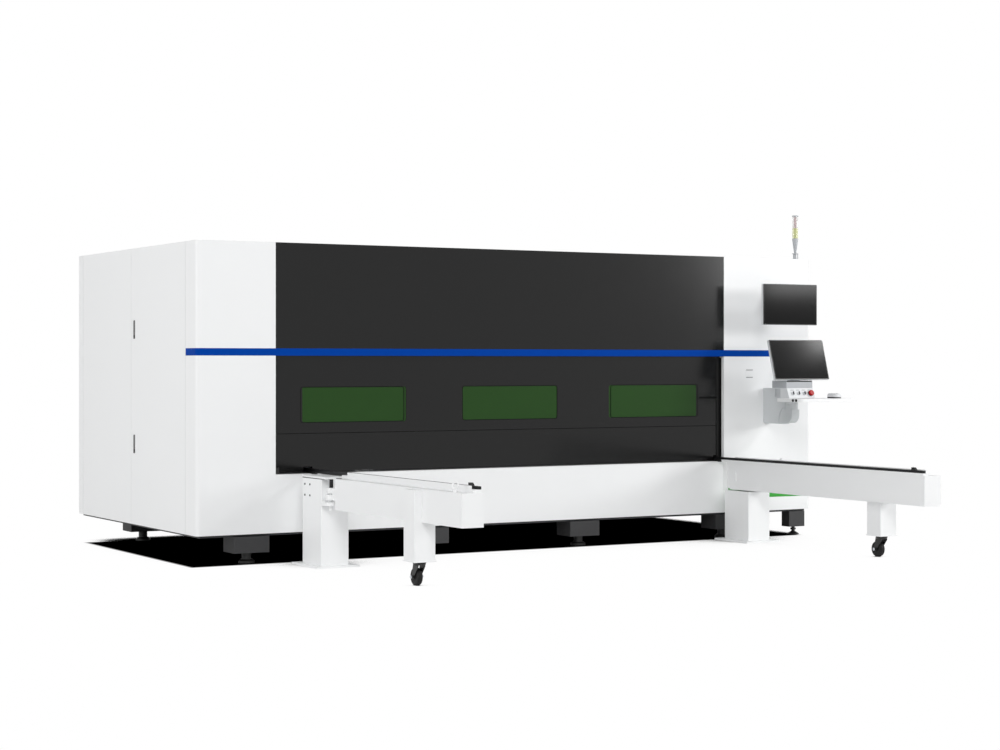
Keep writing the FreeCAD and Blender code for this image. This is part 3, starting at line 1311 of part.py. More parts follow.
def arm_body(arm_x, back, outer_side):
    """Long box arm with its notched leg."""
    x1 = arm_x + ARM_WIDTH
    beam = block(arm_x, x1, ARM_FRONT, back, ARM_BOTTOM, ARM_TOP)
    core = block(arm_x + ARM_WALL, x1 - ARM_WALL, ARM_FRONT + ARM_WALL, back + 1.0,
                 ARM_BOTTOM + ARM_WALL, ARM_TOP - ARM_WALL)
    beam = beam.cut(core)
    outer_face = arm_x if outer_side < 0 else x1
    leg_out = outer_face + outer_side * LEG_OUTSTAND
    leg_in = leg_out - outer_side * LEG_SIZE
    y0 = LEG_CENTRE_Y - LEG_SIZE / 2.0
    y1 = LEG_CENTRE_Y + LEG_SIZE / 2.0
    leg = rounded_plate(min(leg_out, leg_in), max(leg_out, leg_in), y0, y1, LEG_BOTTOM,
                        ARM_TOP - 6.0, 6.0)
    leg = leg.cut(block(arm_x, x1, y0 - 1.0, y1 + 1.0, ARM_BOTTOM, ARM_TOP))
    sole = block(min(leg_out, leg_in) - 3.0, max(leg_out, leg_in) + 3.0, y0 - 3.0, y1 + 3.0,
                 LEG_BOTTOM - LEG_PLATE, LEG_BOTTOM)
    return [beam, leg, sole]


def barrels(pin_x, pin_y):
    """The two hinge barrels of an arm, and the lowest and highest point of the pair."""
    solids = []
    for low, radius in ((MIDDLE_BARREL_BOTTOM, MIDDLE_BARREL_RADIUS),
                        (UPPER_BARREL_BOTTOM, UPPER_BARREL_RADIUS)):
        solids.append(upright(pin_x, pin_y, low, low + BARREL_HEIGHT, radius))
    z0 = MIDDLE_BARREL_BOTTOM
    z1 = UPPER_BARREL_BOTTOM + BARREL_HEIGHT
    return solids, z0, z1


def bored(shape, pin_x, pin_y):
    """Bore the hinge barrels for their pin."""
    hole = upright(pin_x, pin_y, LUG_BOTTOM, ARM_TOP, PIN_RADIUS + PIN_FIT)
    return shape.cut(hole)


def left_arm():
    """Left swing-out arm with the hinge plate behind its closed rear end."""
    bar_low, bar_high = bar_spans()[0]
    solids = arm_body(LEFT_ARM_X, LEFT_ARM_BACK, -1)
    rounds, z0, z1 = barrels(LEFT_PIN_X, LEFT_PIN_Y)
    end_plate = block(LEFT_ARM_X, LEFT_ARM_X + ARM_WIDTH, LEFT_ARM_BACK - 1.0,
                      LEFT_ARM_BACK + ARM_WALL, ARM_BOTTOM, ARM_TOP)
    plate = block(LEFT_PIN_X - 4.0, LEFT_PIN_X + BARREL_ARM_THICKNESS, LEFT_ARM_BACK,
                  LEFT_PIN_Y - PIN_RADIUS - 6.0, z0, z1)
    rail_y = link_front() - RAIL_JOINT_GAP
    bracket = prism_x([(LEFT_ARM_BACK - 1.0, ARM_TOP - 60.0), (LEFT_ARM_BACK - 1.0, ARM_TOP),
                       (rail_y, ARM_TOP), (LEFT_ARM_BACK + ARM_WALL + 4.0, ARM_TOP - 60.0)],
                      bar_low, bar_high)
    whole = fused(solids + rounds + [end_plate, plate, bracket])
    body = bored(whole, LEFT_PIN_X, LEFT_PIN_Y)
    return group([body] + arm_bar(bar_spans()[0], -1, LEFT_ARM_BACK, rail_y))


def right_arm():
    """Right swing-out arm, cut away at the rear round its latch plate."""
    solids = arm_body(RIGHT_ARM_X, RIGHT_ARM_BACK, 1)
    rounds, z0, z1 = barrels(RIGHT_PIN_X, RIGHT_PIN_Y)
    face = RIGHT_ARM_X + ARM_WIDTH
    plate = block(face - 1.0, RIGHT_PIN_X - PIN_RADIUS, RIGHT_PIN_Y - 16.0,
                  RIGHT_PIN_Y + 16.0, z0, z1)
    whole = fused(solids + rounds + [plate])
    middle = ARM_BOTTOM + ARM_HEIGHT * 0.5
    cutter = lying_x(RIGHT_ARM_X - 1.0, RIGHT_ARM_X + ARM_WALL + 1.0, RIGHT_ARM_BACK + 6.0,
                     middle, 56.0)
    whole = whole.cut(cutter)
    slot = block(RIGHT_ARM_X - 1.0, RIGHT_ARM_X + ARM_WALL + 1.0, RIGHT_ARM_BACK - 92.0,
                 RIGHT_ARM_BACK - 68.0, middle - 34.0, middle + 34.0)
    whole = whole.cut(slot)
    latch = block(RIGHT_ARM_X + ARM_WALL, RIGHT_ARM_X + ARM_WALL + 10.0,
                  RIGHT_ARM_BACK - 160.0, RIGHT_ARM_BACK + 40.0, ARM_BOTTOM + ARM_WALL,
                  ARM_TOP)
    bulkhead = block(RIGHT_ARM_X + ARM_WALL - 1.0, face - ARM_WALL + 1.0,
                     RIGHT_ARM_BACK - 168.0, RIGHT_ARM_BACK - 160.0, ARM_BOTTOM + 1.0,
                     ARM_TOP - 1.0)
    body = bored(fused([whole, latch, bulkhead]), RIGHT_PIN_X, RIGHT_PIN_Y)
    rail_y = INNER_RAIL_FRONT - RAIL_JOINT_GAP
    return group([body] + arm_bar(bar_spans()[1], 1, RIGHT_ARM_BACK, rail_y))


def arm_rail(rail_x, back):
    """Hardened strip on an arm and the end stop screwed on it."""
    half = RAIL_WIDTH / 2.0
    front = ARM_FRONT + RAIL_FRONT_INSET
    strip = block(rail_x - half, rail_x + half, front, back, RAIL_BASE, RAIL_TOP)
    stop = prism_x([(FRONT_STOP_Y - STOP_LENGTH, RAIL_TOP), (FRONT_STOP_Y, RAIL_TOP),
                    (FRONT_STOP_Y, RAIL_TOP + STOP_HEIGHT),
                    (FRONT_STOP_Y - STOP_LENGTH * 0.6, RAIL_TOP + STOP_HEIGHT)],
                   rail_x - half, rail_x + half)
    return group([strip, stop])


def caster_places():
    """Swivel centre under each arm's leg."""
    left_x = LEFT_ARM_X - LEG_OUTSTAND + LEG_SIZE / 2.0
    right_x = RIGHT_ARM_X + ARM_WIDTH + LEG_OUTSTAND - LEG_SIZE / 2.0
    return {"left": (left_x, LEG_CENTRE_Y), "right": (right_x, LEG_CENTRE_Y)}


def caster_fork(place):
    """Pressed swivel fork: bearing cup, crown and two tapered cheeks."""
    x, y = place
    top = LEG_BOTTOM - LEG_PLATE - WASHER_GAP
    crown_top = top - CASTER_PLATE
    cup = turned([(0, crown_top - 12.0), (SWIVEL_RADIUS * 0.9, crown_top - 12.0),
                  (SWIVEL_RADIUS, crown_top), (SWIVEL_RADIUS, top), (0, top)], x, y)
    half = CASTER_WHEEL_WIDTH / 2.0 + FORK_GAP
    axle_y = y + CASTER_TRAIL
    axle_z = CASTER_WHEEL_RADIUS
    crown_z = crown_top - 18.0
    cheek = [(y - 26.0, crown_top), (y + 30.0, crown_top), (axle_y + 14.0, axle_z + 4.0),
             (axle_y + 8.0, axle_z - 12.0), (axle_y - 8.0, axle_z - 12.0),
             (axle_y - 16.0, axle_z + 6.0), (y - 26.0, crown_z)]
    sides = [prism_x(cheek, x - half - FORK_WALL, x - half),
             prism_x(cheek, x + half, x + half + FORK_WALL)]
    crown = block(x - half - FORK_WALL, x + half + FORK_WALL, y - 26.0, y + 30.0,
                  crown_top - 10.0, crown_top)
    axle = lying_x(x - half - FORK_WALL - 4.0, x + half + FORK_WALL + 4.0, axle_y, axle_z,
                   CASTER_AXLE_RADIUS - AXLE_FIT)
    return fused([cup, crown, axle] + sides)


def caster_wheel(place):
    """Solid wheel with a crowned tread and a bored hub."""
    x, y = place
    axle_y = y + CASTER_TRAIL
    half = CASTER_WHEEL_WIDTH / 2.0
    radius = CASTER_WHEEL_RADIUS
    hub = CASTER_AXLE_RADIUS
    outline = [(hub, -half - FORK_GAP * 0.6), (hub + 10.0, -half - FORK_GAP * 0.6),
               (hub + 10.0, -half), (radius - 12.0, -half), (radius - 2.0, -half + 2.0),
               (radius, -half + 8.0), (radius, half - 8.0), (radius - 2.0, half - 2.0),
               (radius - 12.0, half), (hub + 10.0, half), (hub + 10.0, half + FORK_GAP * 0.6),
               (hub, half + FORK_GAP * 0.6)]
    points = [Vec(x + across, axle_y, radius + out) for out, across in outline]
    face = Part.Face(Part.makePolygon(points + [points[0]]))
    return face.revolve(Vec(x, axle_y, radius), Vec(1, 0, 0), 360)


# ------------------------------------------------------------------ operator station
def support_arm():
    """Cast support: deep column on the wall, elbow with scooped sides and upright tube."""
    half = COLUMN_WIDTH / 2.0
    x0 = STATION_X - half
    x1 = STATION_X + half
    under_shelf = SHELF_TOP - SHELF_THICKNESS - WASHER_GAP
    nose_y = COLUMN_NOSE + half
    column = block(x0, x1, nose_y, -SEAT, COLUMN_BOTTOM, under_shelf - 1.0)
    lower = [edge for edge in column.Edges
             if is_along_y(edge) and abs(edge.CenterOfMass.z - COLUMN_BOTTOM) < 0.1]
    column = column.makeFillet(COLUMN_EDGE, lower)
    nose = upright(STATION_X, nose_y, COLUMN_BOTTOM + COLUMN_EDGE / 2.0, under_shelf - 1.0, half)
    head_front = SWIVEL_Y + SHELF_TONGUE_WIDTH / 2.0 + SWING_GAP
    head = block(x0, x1, head_front, -SEAT, under_shelf - 2.0, COLUMN_TOP)
    for side in (-1, 1):
        face = STATION_X + side * half
        deep = face - side * RECESS_DEPTH
        proud = face + side
        head = head.cut(block(min(deep, proud), max(deep, proud), *RECESS_Y, *RECESS_Z))
    pivot = upright(STATION_X, SWIVEL_Y, under_shelf - 1.0, SHELF_TOP - 4.0,
                    SUPPORT_TUBE_RADIUS / 2.0)
    scooped = [piece.cut(scoops()) for piece in (column, nose, *support_elbow())]
    return fused(scooped + [head, pivot])


def scoops():
    """The two round-topped hollows that narrow the elbow from both sides."""
    left = lying_x(STATION_X - COLUMN_WIDTH, STATION_X - SCOOP_HALF, SCOOP_Y, SCOOP_Z,
                   SCOOP_RADIUS)
    right = lying_x(STATION_X + SCOOP_HALF, STATION_X + COLUMN_WIDTH, SCOOP_Y, SCOOP_Z,
                    SCOOP_RADIUS)
    return Part.makeCompound([left, right])


def support_elbow():
    """Round-bottomed elbow out of the column and the tube that carries the shelf."""
    front_y = SWIVEL_Y - SUPPORT_TUBE_RADIUS
    bottom = SUPPORT_ARM_BOTTOM
    arm = block(STATION_X - SUPPORT_TUBE_RADIUS, STATION_X + SUPPORT_TUBE_RADIUS, front_y,
                COLUMN_NOSE + COLUMN_WIDTH / 2.0, bottom, bottom + SUPPORT_ARM_HEIGHT)
    front_low = [edge for edge in arm.Edges
                 if abs(edge.CenterOfMass.y - front_y) < 0.1
                 and abs(edge.CenterOfMass.z - bottom) < 0.1]
    arm = arm.makeFillet(ELBOW_BEND, front_low)
    tube = upright(STATION_X, SWIVEL_Y, bottom + ELBOW_BEND, SHELF_TOP - SHELF_THICKNESS - WASHER_GAP,
                   SUPPORT_TUBE_RADIUS)
    return arm, tube


def console_shelf():
    """Round-cornered shelf with the tongue that turns on the support tube."""
    z0 = SHELF_TOP - SHELF_THICKNESS
    left = STATION_X + SHELF_OFFSET - SHELF_WIDTH / 2.0
    board = rounded_plate(left, left + SHELF_WIDTH, SHELF_BACK - SHELF_DEPTH,
                          SHELF_BACK, z0, SHELF_TOP, SHELF_CORNER)
    tongue = block(STATION_X - SHELF_TONGUE_WIDTH / 2.0, STATION_X + SHELF_TONGUE_WIDTH / 2.0,
                   SHELF_BACK - 1.0, SWIVEL_Y, z0, SHELF_TOP)
    end = upright(STATION_X, SWIVEL_Y, z0, SHELF_TOP, SHELF_TONGUE_WIDTH / 2.0)
    shelf = fused([board, tongue, end])
    for offset in SOCKET_OFFSETS:
        y = SHELF_BACK - SHELF_DEPTH + offset
        shelf = shelf.cut(lying_x(left - 1.0, left + SOCKET_DEPTH, y,
                                  z0 + SHELF_THICKNESS / 2.0, SOCKET_RADIUS))
    bore = upright(STATION_X, SWIVEL_Y, z0 - 1.0, SHELF_TOP - 3.0,
                   SUPPORT_TUBE_RADIUS / 2.0 + PIN_FIT)
    return shelf.cut(bore)


def panel_frame():
    """Foot point, up direction and outward normal of the slanted console panel."""
    foot = Vec(CONSOLE_X, CONSOLE_FRONT, SHELF_TOP + SEAT)
    up = Vec(0, PANEL_LEAN, PANEL_RISE).normalize()
    normal = Vec(0, -PANEL_RISE, PANEL_LEAN).normalize()
    return foot, up, normal


def control_axis(x_offset):
    """A point on the slanted panel at mid height, and the panel's outward normal."""
    foot, up, normal = panel_frame()
    length = math.hypot(PANEL_LEAN, PANEL_RISE)
    point = foot + up * (length * 0.46) + Vec(x_offset, 0, 0)
    return point, normal


def console_box():
    """Wedge-shaped control box with bored control seats."""
    z0 = SHELF_TOP + SEAT
    profile = [(CONSOLE_FRONT, z0), (CONSOLE_FRONT + PANEL_LEAN, z0 + PANEL_RISE),
               (CONSOLE_BACK, z0 + PANEL_RISE), (CONSOLE_BACK, z0)]
    half = CONSOLE_WIDTH / 2.0
    box = prism_x(profile, CONSOLE_X - half, CONSOLE_X + half)
    for offset in knob_offsets():
        point, normal = control_axis(offset)
        box = box.cut(Part.makeCylinder(5.0 + AXLE_FIT, 14.0, point - normal * 12.0, normal))
    point, normal = control_axis(BUTTON_X_OFFSET)
    depth = STOP_BUTTON_TRAVEL + 14.0
    seat = Part.makeCylinder(STOP_BUTTON_STEM + 0.4, depth + 2.0, point - normal * depth, normal)
    return box.cut(seat)


def knob_offsets():
    """X offset of each selector knob from the middle of the console."""
    last = BUTTON_X_OFFSET - BUTTON_SPACING
    return [last - KNOB_PITCH * (KNOB_COUNT - 1 - index) for index in range(KNOB_COUNT)]


def selector_knob(offset):
    """Round selector with a grip bar and a spindle in the panel."""
    point, normal = control_axis(offset)
    base = Part.makeCylinder(KNOB_RADIUS, KNOB_HEIGHT * 0.45, point + normal * SEAT, normal)
    spindle = Part.makeCylinder(5.0 - AXLE_FIT, 10.0 + SEAT + 1.0, point - normal * 10.0, normal)
    _, up, _ = panel_frame()
    grip = Part.makeBox(5.0, 2.0 * KNOB_RADIUS, KNOB_HEIGHT * 0.6)
    grip.translate(Vec(-2.5, -KNOB_RADIUS, 0))
    turn = FreeCAD.Rotation(Vec(1, 0, 0), up, normal)
    grip.Placement = FreeCAD.Placement(point + normal * (SEAT + KNOB_HEIGHT * 0.4), turn).multiply(
        grip.Placement)
    grip = grip.common(Part.makeCylinder(KNOB_RADIUS, KNOB_HEIGHT * 2.0, point, normal))
    return fused([base, spindle, grip])


def stop_button():
    """Red mushroom emergency stop with its stem."""
    point, normal = control_axis(BUTTON_X_OFFSET)
    rise = STOP_BUTTON_TRAVEL + 1.0
    stem = Part.makeCylinder(STOP_BUTTON_STEM, 12.0 + rise + 2.0, point - normal * 12.0, normal)
    head = Part.makeCylinder(STOP_BUTTON_RADIUS, STOP_BUTTON_HEAD, point + normal * rise, normal)
    far = head.Edges[0]
    for edge in head.Edges:
        if edge.Closed and (edge.CenterOfMass - point).dot(normal) > rise + 1.0:
            far = edge
    head = head.makeFillet(5.0, [far])
    return fused([stem, head])


def monitor_neck():
    """Grey block on the console with the stem and hinge pin of the lower screen."""
    z0 = SHELF_TOP + SEAT + PANEL_RISE + SEAT
    half = CONSOLE_WIDTH / 2.0
    low = block(CONSOLE_X - half, CONSOLE_X + half, CONSOLE_FRONT + PANEL_LEAN + 4.0,
                NECK_BACK, z0, z0 + NECK_HEIGHT)
    pivot_y, pivot_z = tilt_pivot()
    half_stem = NECK_STEM_WIDTH / 2.0
    stem = block(STATION_X - half_stem, STATION_X + half_stem, pivot_y - NECK_STEM_DEPTH / 2.0,
                 pivot_y + NECK_STEM_DEPTH / 2.0, z0 + 10.0, pivot_z)
    top = lying_x(STATION_X - half_stem, STATION_X + half_stem, pivot_y, pivot_z,
                  NECK_STEM_DEPTH / 2.0)
    half_knuckle = HINGE_KNUCKLE_WIDTH / 2.0 + WASHER_GAP
    gap = block(STATION_X - half_knuckle, STATION_X + half_knuckle, pivot_y - 40.0,
                pivot_y + 40.0, pivot_z - HINGE_KNUCKLE_RADIUS - 6.0, pivot_z + 40.0)
    pin = lying_x(STATION_X - half_stem + 2.0, STATION_X + half_stem - 2.0, pivot_y, pivot_z,
                  HINGE_PIN_RADIUS)
    fork = fused([stem, top]).cut(gap)
    return fused([low, fork, pin])


def tilt_pivot():
    """Y and Z of the tilt pin behind the lower screen."""
    lean = math.radians(LOWER_MONITOR_LEAN)
    back = MONITOR_DEPTH + VESA_THICKNESS + HINGE_KNUCKLE_RADIUS + 4.0
    return (LOWER_MONITOR_Y + back * math.cos(lean), LOWER_MONITOR_Z - back * math.sin(lean))


def screen_body():
    """Screen standing at the origin with its face in the plane Y = 0."""
    half = MONITOR_WIDTH / 2.0
    rise = MONITOR_HEIGHT / 2.0
    front = rounded_window(-half, half, 0, MONITOR_DEPTH * 0.5, -rise, rise, MONITOR_CORNER)
    back = rounded_window(-half + 40.0, half - 40.0, MONITOR_DEPTH * 0.5 - 1.0, MONITOR_DEPTH,
                          -rise + 36.0, rise - 36.0, 20.0)
    plate = block(-VESA_SIZE / 2.0, VESA_SIZE / 2.0, MONITOR_DEPTH - 1.0,
                  MONITOR_DEPTH + VESA_THICKNESS, -VESA_SIZE / 2.0, VESA_SIZE / 2.0)
    bezel = MONITOR_BEZEL
    glass = block(-half + bezel, half - bezel, -1.0, 1.0, -rise + bezel, rise - bezel)
    return fused([front, back, plate]).cut(glass)


def lower_monitor():
    """Operator screen, leaning back on its tilt hinge."""
    reach = MONITOR_DEPTH + VESA_THICKNESS + HINGE_KNUCKLE_RADIUS + 4.0
    half = HINGE_KNUCKLE_WIDTH / 2.0
    web = block(-half, half, MONITOR_DEPTH + VESA_THICKNESS - 1.0, reach, -7.0, 7.0)
    knuckle = lying_x(-half, half, reach, 0, HINGE_KNUCKLE_RADIUS)
    bore = lying_x(-half - 1.0, half + 1.0, reach, 0, HINGE_PIN_RADIUS + PIN_FIT)
    screen = fused([screen_body(), web, knuckle]).cut(bore)
    screen.rotate(Vec(0, 0, 0), Vec(1, 0, 0), -LOWER_MONITOR_LEAN)
    screen.translate(Vec(STATION_X, LOWER_MONITOR_Y, LOWER_MONITOR_Z))
    return screen


def swing_pivot_y():
    """Y of the upright pin behind the upper screen."""
    return UPPER_MONITOR_FACE + MONITOR_DEPTH + VESA_THICKNESS + HINGE_KNUCKLE_RADIUS + 4.0


def upper_monitor():
    """Camera screen on an upright hinge."""
    reach = MONITOR_DEPTH + VESA_THICKNESS + HINGE_KNUCKLE_RADIUS + 4.0
    half = HINGE_KNUCKLE_WIDTH / 2.0
    web = block(-7.0, 7.0, MONITOR_DEPTH + VESA_THICKNESS - 1.0, reach, -half, half)
    knuckle = upright(0, reach, -half, half, HINGE_KNUCKLE_RADIUS)
    bore = upright(0, reach, -half - 1.0, half + 1.0, HINGE_PIN_RADIUS + PIN_FIT)
    screen = fused([screen_body(), web, knuckle]).cut(bore)
    screen.translate(Vec(STATION_X, UPPER_MONITOR_FACE, UPPER_MONITOR_Z))
    return screen


def monitor_bracket():
    """Wall bracket of the upper screen: wall plate, arm, fork and upright pin."""
    half = VESA_SIZE / 2.0
    z = UPPER_MONITOR_Z
    pivot_y = swing_pivot_y()
    plate = block(STATION_X - half, STATION_X + half, -VESA_THICKNESS, -SEAT, z - half, z + half)
    stem_front = pivot_y + HINGE_KNUCKLE_RADIUS + 4.0
    stem = block(STATION_X - 20.0, STATION_X + 20.0, stem_front, -VESA_THICKNESS + 1.0,
                 z - 20.0, z + 20.0)
    rise = HINGE_KNUCKLE_WIDTH / 2.0 + WASHER_GAP
    ears = []
    for low in (z - rise - 10.0, z + rise):
        ears.append(upright(STATION_X, pivot_y, low, low + 10.0, HINGE_KNUCKLE_RADIUS))
        ears.append(block(STATION_X - HINGE_KNUCKLE_RADIUS, STATION_X + HINGE_KNUCKLE_RADIUS,
                          pivot_y, stem_front + 10.0, low, low + 10.0))
    spine = block(STATION_X - HINGE_KNUCKLE_RADIUS, STATION_X + HINGE_KNUCKLE_RADIUS, stem_front,
                  stem_front + 10.0, z - rise - 10.0, z + rise + 10.0)
    pin = upright(STATION_X, pivot_y, z - rise - 9.0, z + rise + 9.0, HINGE_PIN_RADIUS)
    return fused([plate, stem, spine, pin] + ears)


def mouse():
    """Pointing device lying on the shelf: a low rounded shell."""
    x = STATION_X + SHELF_OFFSET + SHELF_WIDTH / 2.0 - MOUSE_FROM_RIGHT
    y = SHELF_BACK - SHELF_DEPTH + MOUSE_FROM_FRONT
    z = SHELF_TOP + SEAT
    body = block(x - MOUSE_WIDTH / 2.0, x + MOUSE_WIDTH / 2.0, y - MOUSE_LENGTH / 2.0,
                 y + MOUSE_LENGTH / 2.0, z, z + MOUSE_HEIGHT)
    body = body.makeFillet(22.0, [edge for edge in body.Edges if is_upright(edge)])
    upper = [edge for edge in body.Edges if abs(edge.CenterOfMass.z - z - MOUSE_HEIGHT) < 0.1]
    return body.makeFillet(14.0, upper)


# ------------------------------------------------------------------ signal tower
def tower_body():
    """Base with three side posts, the cone that widens upwards, and the cap."""
    z = PANEL_TOP
    radius = TOWER_RADIUS
    lens_top = z + TOWER_HEIGHT - TOWER_CAP_HEIGHT
    base = upright(TOWER_X, TOWER_Y, z, z + 6.0, radius)
    column = upright(TOWER_X, TOWER_Y, z + 5.0, z + TOWER_BASE_HEIGHT + 6.0, TOWER_NECK_RADIUS)
    posts = []
    for turn in range(3):
        angle = math.radians(90.0 + 120.0 * turn)
        px = TOWER_X + (radius - 4.0) * math.cos(angle)
        py = TOWER_Y + (radius - 4.0) * math.sin(angle)
        posts.append(upright(px, py, z + 5.0, z + TOWER_BASE_HEIGHT, 3.0))
    ring = upright(TOWER_X, TOWER_Y, z + TOWER_BASE_HEIGHT - 4.0, z + TOWER_BASE_HEIGHT, radius)
    cone = turned([(0, z + TOWER_BASE_HEIGHT), (TOWER_NECK_RADIUS, z + TOWER_BASE_HEIGHT),
                   (TOWER_NECK_RADIUS, z + TOWER_BASE_HEIGHT + 8.0),
                   (radius, z + TOWER_CONE_TOP), (0, z + TOWER_CONE_TOP)], TOWER_X, TOWER_Y)
    rod = upright(TOWER_X, TOWER_Y, z + TOWER_CONE_TOP - 1.0, lens_top, 4.0)
    cap = upright(TOWER_X, TOWER_Y, lens_top - 0.5, z + TOWER_HEIGHT, radius)
    body = fused([base, column, ring, cone, rod, cap] + posts)
    return body


def tower_lens():
    """Clear tube of the lit column round its inner rod."""
    z = PANEL_TOP
    low = z + TOWER_CONE_TOP + SEAT
    high = z + TOWER_HEIGHT - TOWER_CAP_HEIGHT - 0.5 - SEAT
    tube = upright(TOWER_X, TOWER_Y, low, high, TOWER_RADIUS - 1.0)
    return tube.cut(upright(TOWER_X, TOWER_Y, low - 1.0, high + 1.0, 5.0))


# ------------------------------------------------------------------ cabinets
def cabinet_span():
    """Left and right side of the cabinets in the right end."""
    left = SUPPORT_RIGHT_X + SUPPORT_WIDTH + CABINET_GAP
    right = ENCLOSURE_LENGTH - CABINET_WALL_GAP - FOLD
    return left, right


def electrical_cabinet():
    """Cabinet with a door lip and a raised plinth."""
    left, right = cabinet_span()
    back = CABINET_FRONT + CABINET_DEPTH
    z0 = BED_TOP + SEAT
    plinth = block(left + 20.0, right - 20.0, CABINET_FRONT + 20.0, back - 20.0, z0, z0 + 60.0)
    body = block(left, right, CABINET_FRONT, back, z0 + 60.0, z0 + CABINET_HEIGHT)
    return fused([plinth, body])


def laser_source():
    """Laser source module with its front handles side, standing behind the cabinet."""
    left, right = cabinet_span()
    front = LASER_FRONT
    z0 = BED_TOP + SEAT
    body = block(left, right, front, front + LASER_DEPTH, z0 + 40.0, z0 + LASER_HEIGHT)
    runners = [block(x, x + 50.0, front + 20.0, front + LASER_DEPTH - 20.0, z0, z0 + 40.0)
               for x in (left + 30.0, right - 80.0)]
    return fused([body] + runners)


# ------------------------------------------------------------------ all the nodes
def build_nodes():
    """Every named piece of the machine."""
    nodes = {
        "machine_bed": machine_bed(),
        "levelling_feet": levelling_feet(),
        "scrap_tray": scrap_tray(),
        "enclosure_frame": enclosure_frame(),
        "left_front_pillar": left_front_pillar(),
        "right_front_pillar": right_front_pillar(),
        "lower_hatch": lower_hatch(),
        "upper_front_panel": upper_front_panel(),
        "blue_band": blue_band(),
        "front_skirt": front_skirt(),
        "left_front_door": left_front_door(),
        "left_rear_door": left_rear_door(),
        "lower_lock": flush_lock(LOCK_Z[0]),
        "upper_lock": flush_lock(LOCK_Z[1]),
        "right_side_panel": right_side_panel(),
        "rear_cover": rear_cover(),
        "roof_cover": roof_cover(),
        "exhaust_collar": exhaust_collar(),
        "door_columns": door_columns(),
        "lift_door": lift_door(),
        "door_windows": door_windows(),
        "table_rails": table_rails(),
        "table_frame": table_frame(),
        "table_slats": table_slats(),
        "drawer_front": drawer_front(),
        "gantry_rails": gantry_rails(),
        "gantry_beam": gantry_beam(),
        "gantry_motors": gantry_motors(),
        "head_carriage": head_carriage(),
        "cutting_head": cutting_head(),
        "left_post": left_post(),
        "right_post": right_post(),
        "left_arm": left_arm(),
        "right_arm": right_arm(),
        "support_arm": support_arm(),
        "console_shelf": console_shelf(),
        "console_box": console_box(),
        "stop_button": stop_button(),
        "monitor_neck": monitor_neck(),
        "lower_monitor": lower_monitor(),
        "upper_monitor": upper_monitor(),
        "monitor_bracket": monitor_bracket(),
        "mouse": mouse(),
        "tower_body": tower_body(),
        "tower_lens": tower_lens(),
        "electrical_cabinet": electrical_cabinet(),
        "laser_source": laser_source(),
    }
    nodes["left_arm_rail"] = arm_rail(RAIL_GAUGE_LEFT, link_front() - RAIL_JOINT_GAP)
    nodes["right_arm_rail"] = arm_rail(RAIL_GAUGE_RIGHT, INNER_RAIL_FRONT - RAIL_JOINT_GAP)
    for name, place in wheel_places().items():
        nodes["table_wheel_" + name] = table_wheel(place)
    for name, place in caster_places().items():
        nodes[name + "_caster_fork"] = caster_fork(place)
        nodes[name + "_caster_wheel"] = caster_wheel(place)
    for index, offset in enumerate(knob_offsets(), start=1):
        nodes["selector_knob_%d" % index] = selector_knob(offset)
    return nodes


def write_parts():
    """Move every piece to the shared origin and write one file each."""
    os.makedirs("parts", exist_ok=True)
    for name, shape in build_nodes().items():
        shape.translate(Vec(-MIDDLE_X, -MIDDLE_Y, 0))
        shape.exportStep("parts/%s.step" % name)


write_parts()
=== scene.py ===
"""Dressing of the fiber laser cutting machine: finishes, small fittings, studio and camera.

The frame is the one of the solids: +X right along the front, +Y to the rear, +Z up, with the
origin on the floor in the middle of the outer box. Places are millimetres from the cabin's
front left floor corner and pass through `place`. A piece's own sizes are metres, and where a
class keeps other lengths in millimetres, its docstring names them.
"""

import json
import logging
import math
from dataclasses import dataclass
from enum import Enum

import bpy
import numpy as np
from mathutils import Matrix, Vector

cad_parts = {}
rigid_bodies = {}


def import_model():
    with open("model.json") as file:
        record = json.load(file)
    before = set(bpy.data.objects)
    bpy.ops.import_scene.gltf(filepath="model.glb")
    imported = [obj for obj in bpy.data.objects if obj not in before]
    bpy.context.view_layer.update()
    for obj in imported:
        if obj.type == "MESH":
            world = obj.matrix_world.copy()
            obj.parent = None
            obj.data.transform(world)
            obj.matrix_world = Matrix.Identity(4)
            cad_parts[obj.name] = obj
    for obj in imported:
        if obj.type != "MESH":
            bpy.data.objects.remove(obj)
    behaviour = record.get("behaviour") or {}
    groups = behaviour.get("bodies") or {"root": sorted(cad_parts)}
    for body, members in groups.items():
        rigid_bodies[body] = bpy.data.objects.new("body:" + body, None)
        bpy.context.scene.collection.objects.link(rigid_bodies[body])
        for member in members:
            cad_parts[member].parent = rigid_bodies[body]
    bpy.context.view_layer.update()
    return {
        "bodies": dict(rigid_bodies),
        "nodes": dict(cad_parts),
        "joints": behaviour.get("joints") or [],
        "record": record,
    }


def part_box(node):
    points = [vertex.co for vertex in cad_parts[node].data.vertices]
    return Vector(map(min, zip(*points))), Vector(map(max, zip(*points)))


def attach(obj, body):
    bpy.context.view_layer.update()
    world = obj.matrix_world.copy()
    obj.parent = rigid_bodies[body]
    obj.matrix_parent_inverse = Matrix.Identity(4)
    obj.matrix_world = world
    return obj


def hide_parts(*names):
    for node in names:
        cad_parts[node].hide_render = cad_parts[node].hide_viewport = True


LOG = logging.getLogger("laser_machine")

Point = tuple[float, float, float]
Profile = tuple[tuple[float, float], ...]

RIGHT = np.array([1.0, 0.0, 0.0])
LEFT = np.array([-1.0, 0.0, 0.0])
BACK = np.array([0.0, 1.0, 0.0])
FRONT = np.array([0.0, -1.0, 0.0])
UP = np.array([0.0, 0.0, 1.0])
QUARTER_TURN = math.pi / 2.0
FULL_TURN = 2.0 * math.pi

MM_PER_METRE = 1000.0
# middle of the outer box, in millimetres from the cabin's front left floor corner
MIDDLE_X = 2385.0
MIDDLE_Y = 100.5


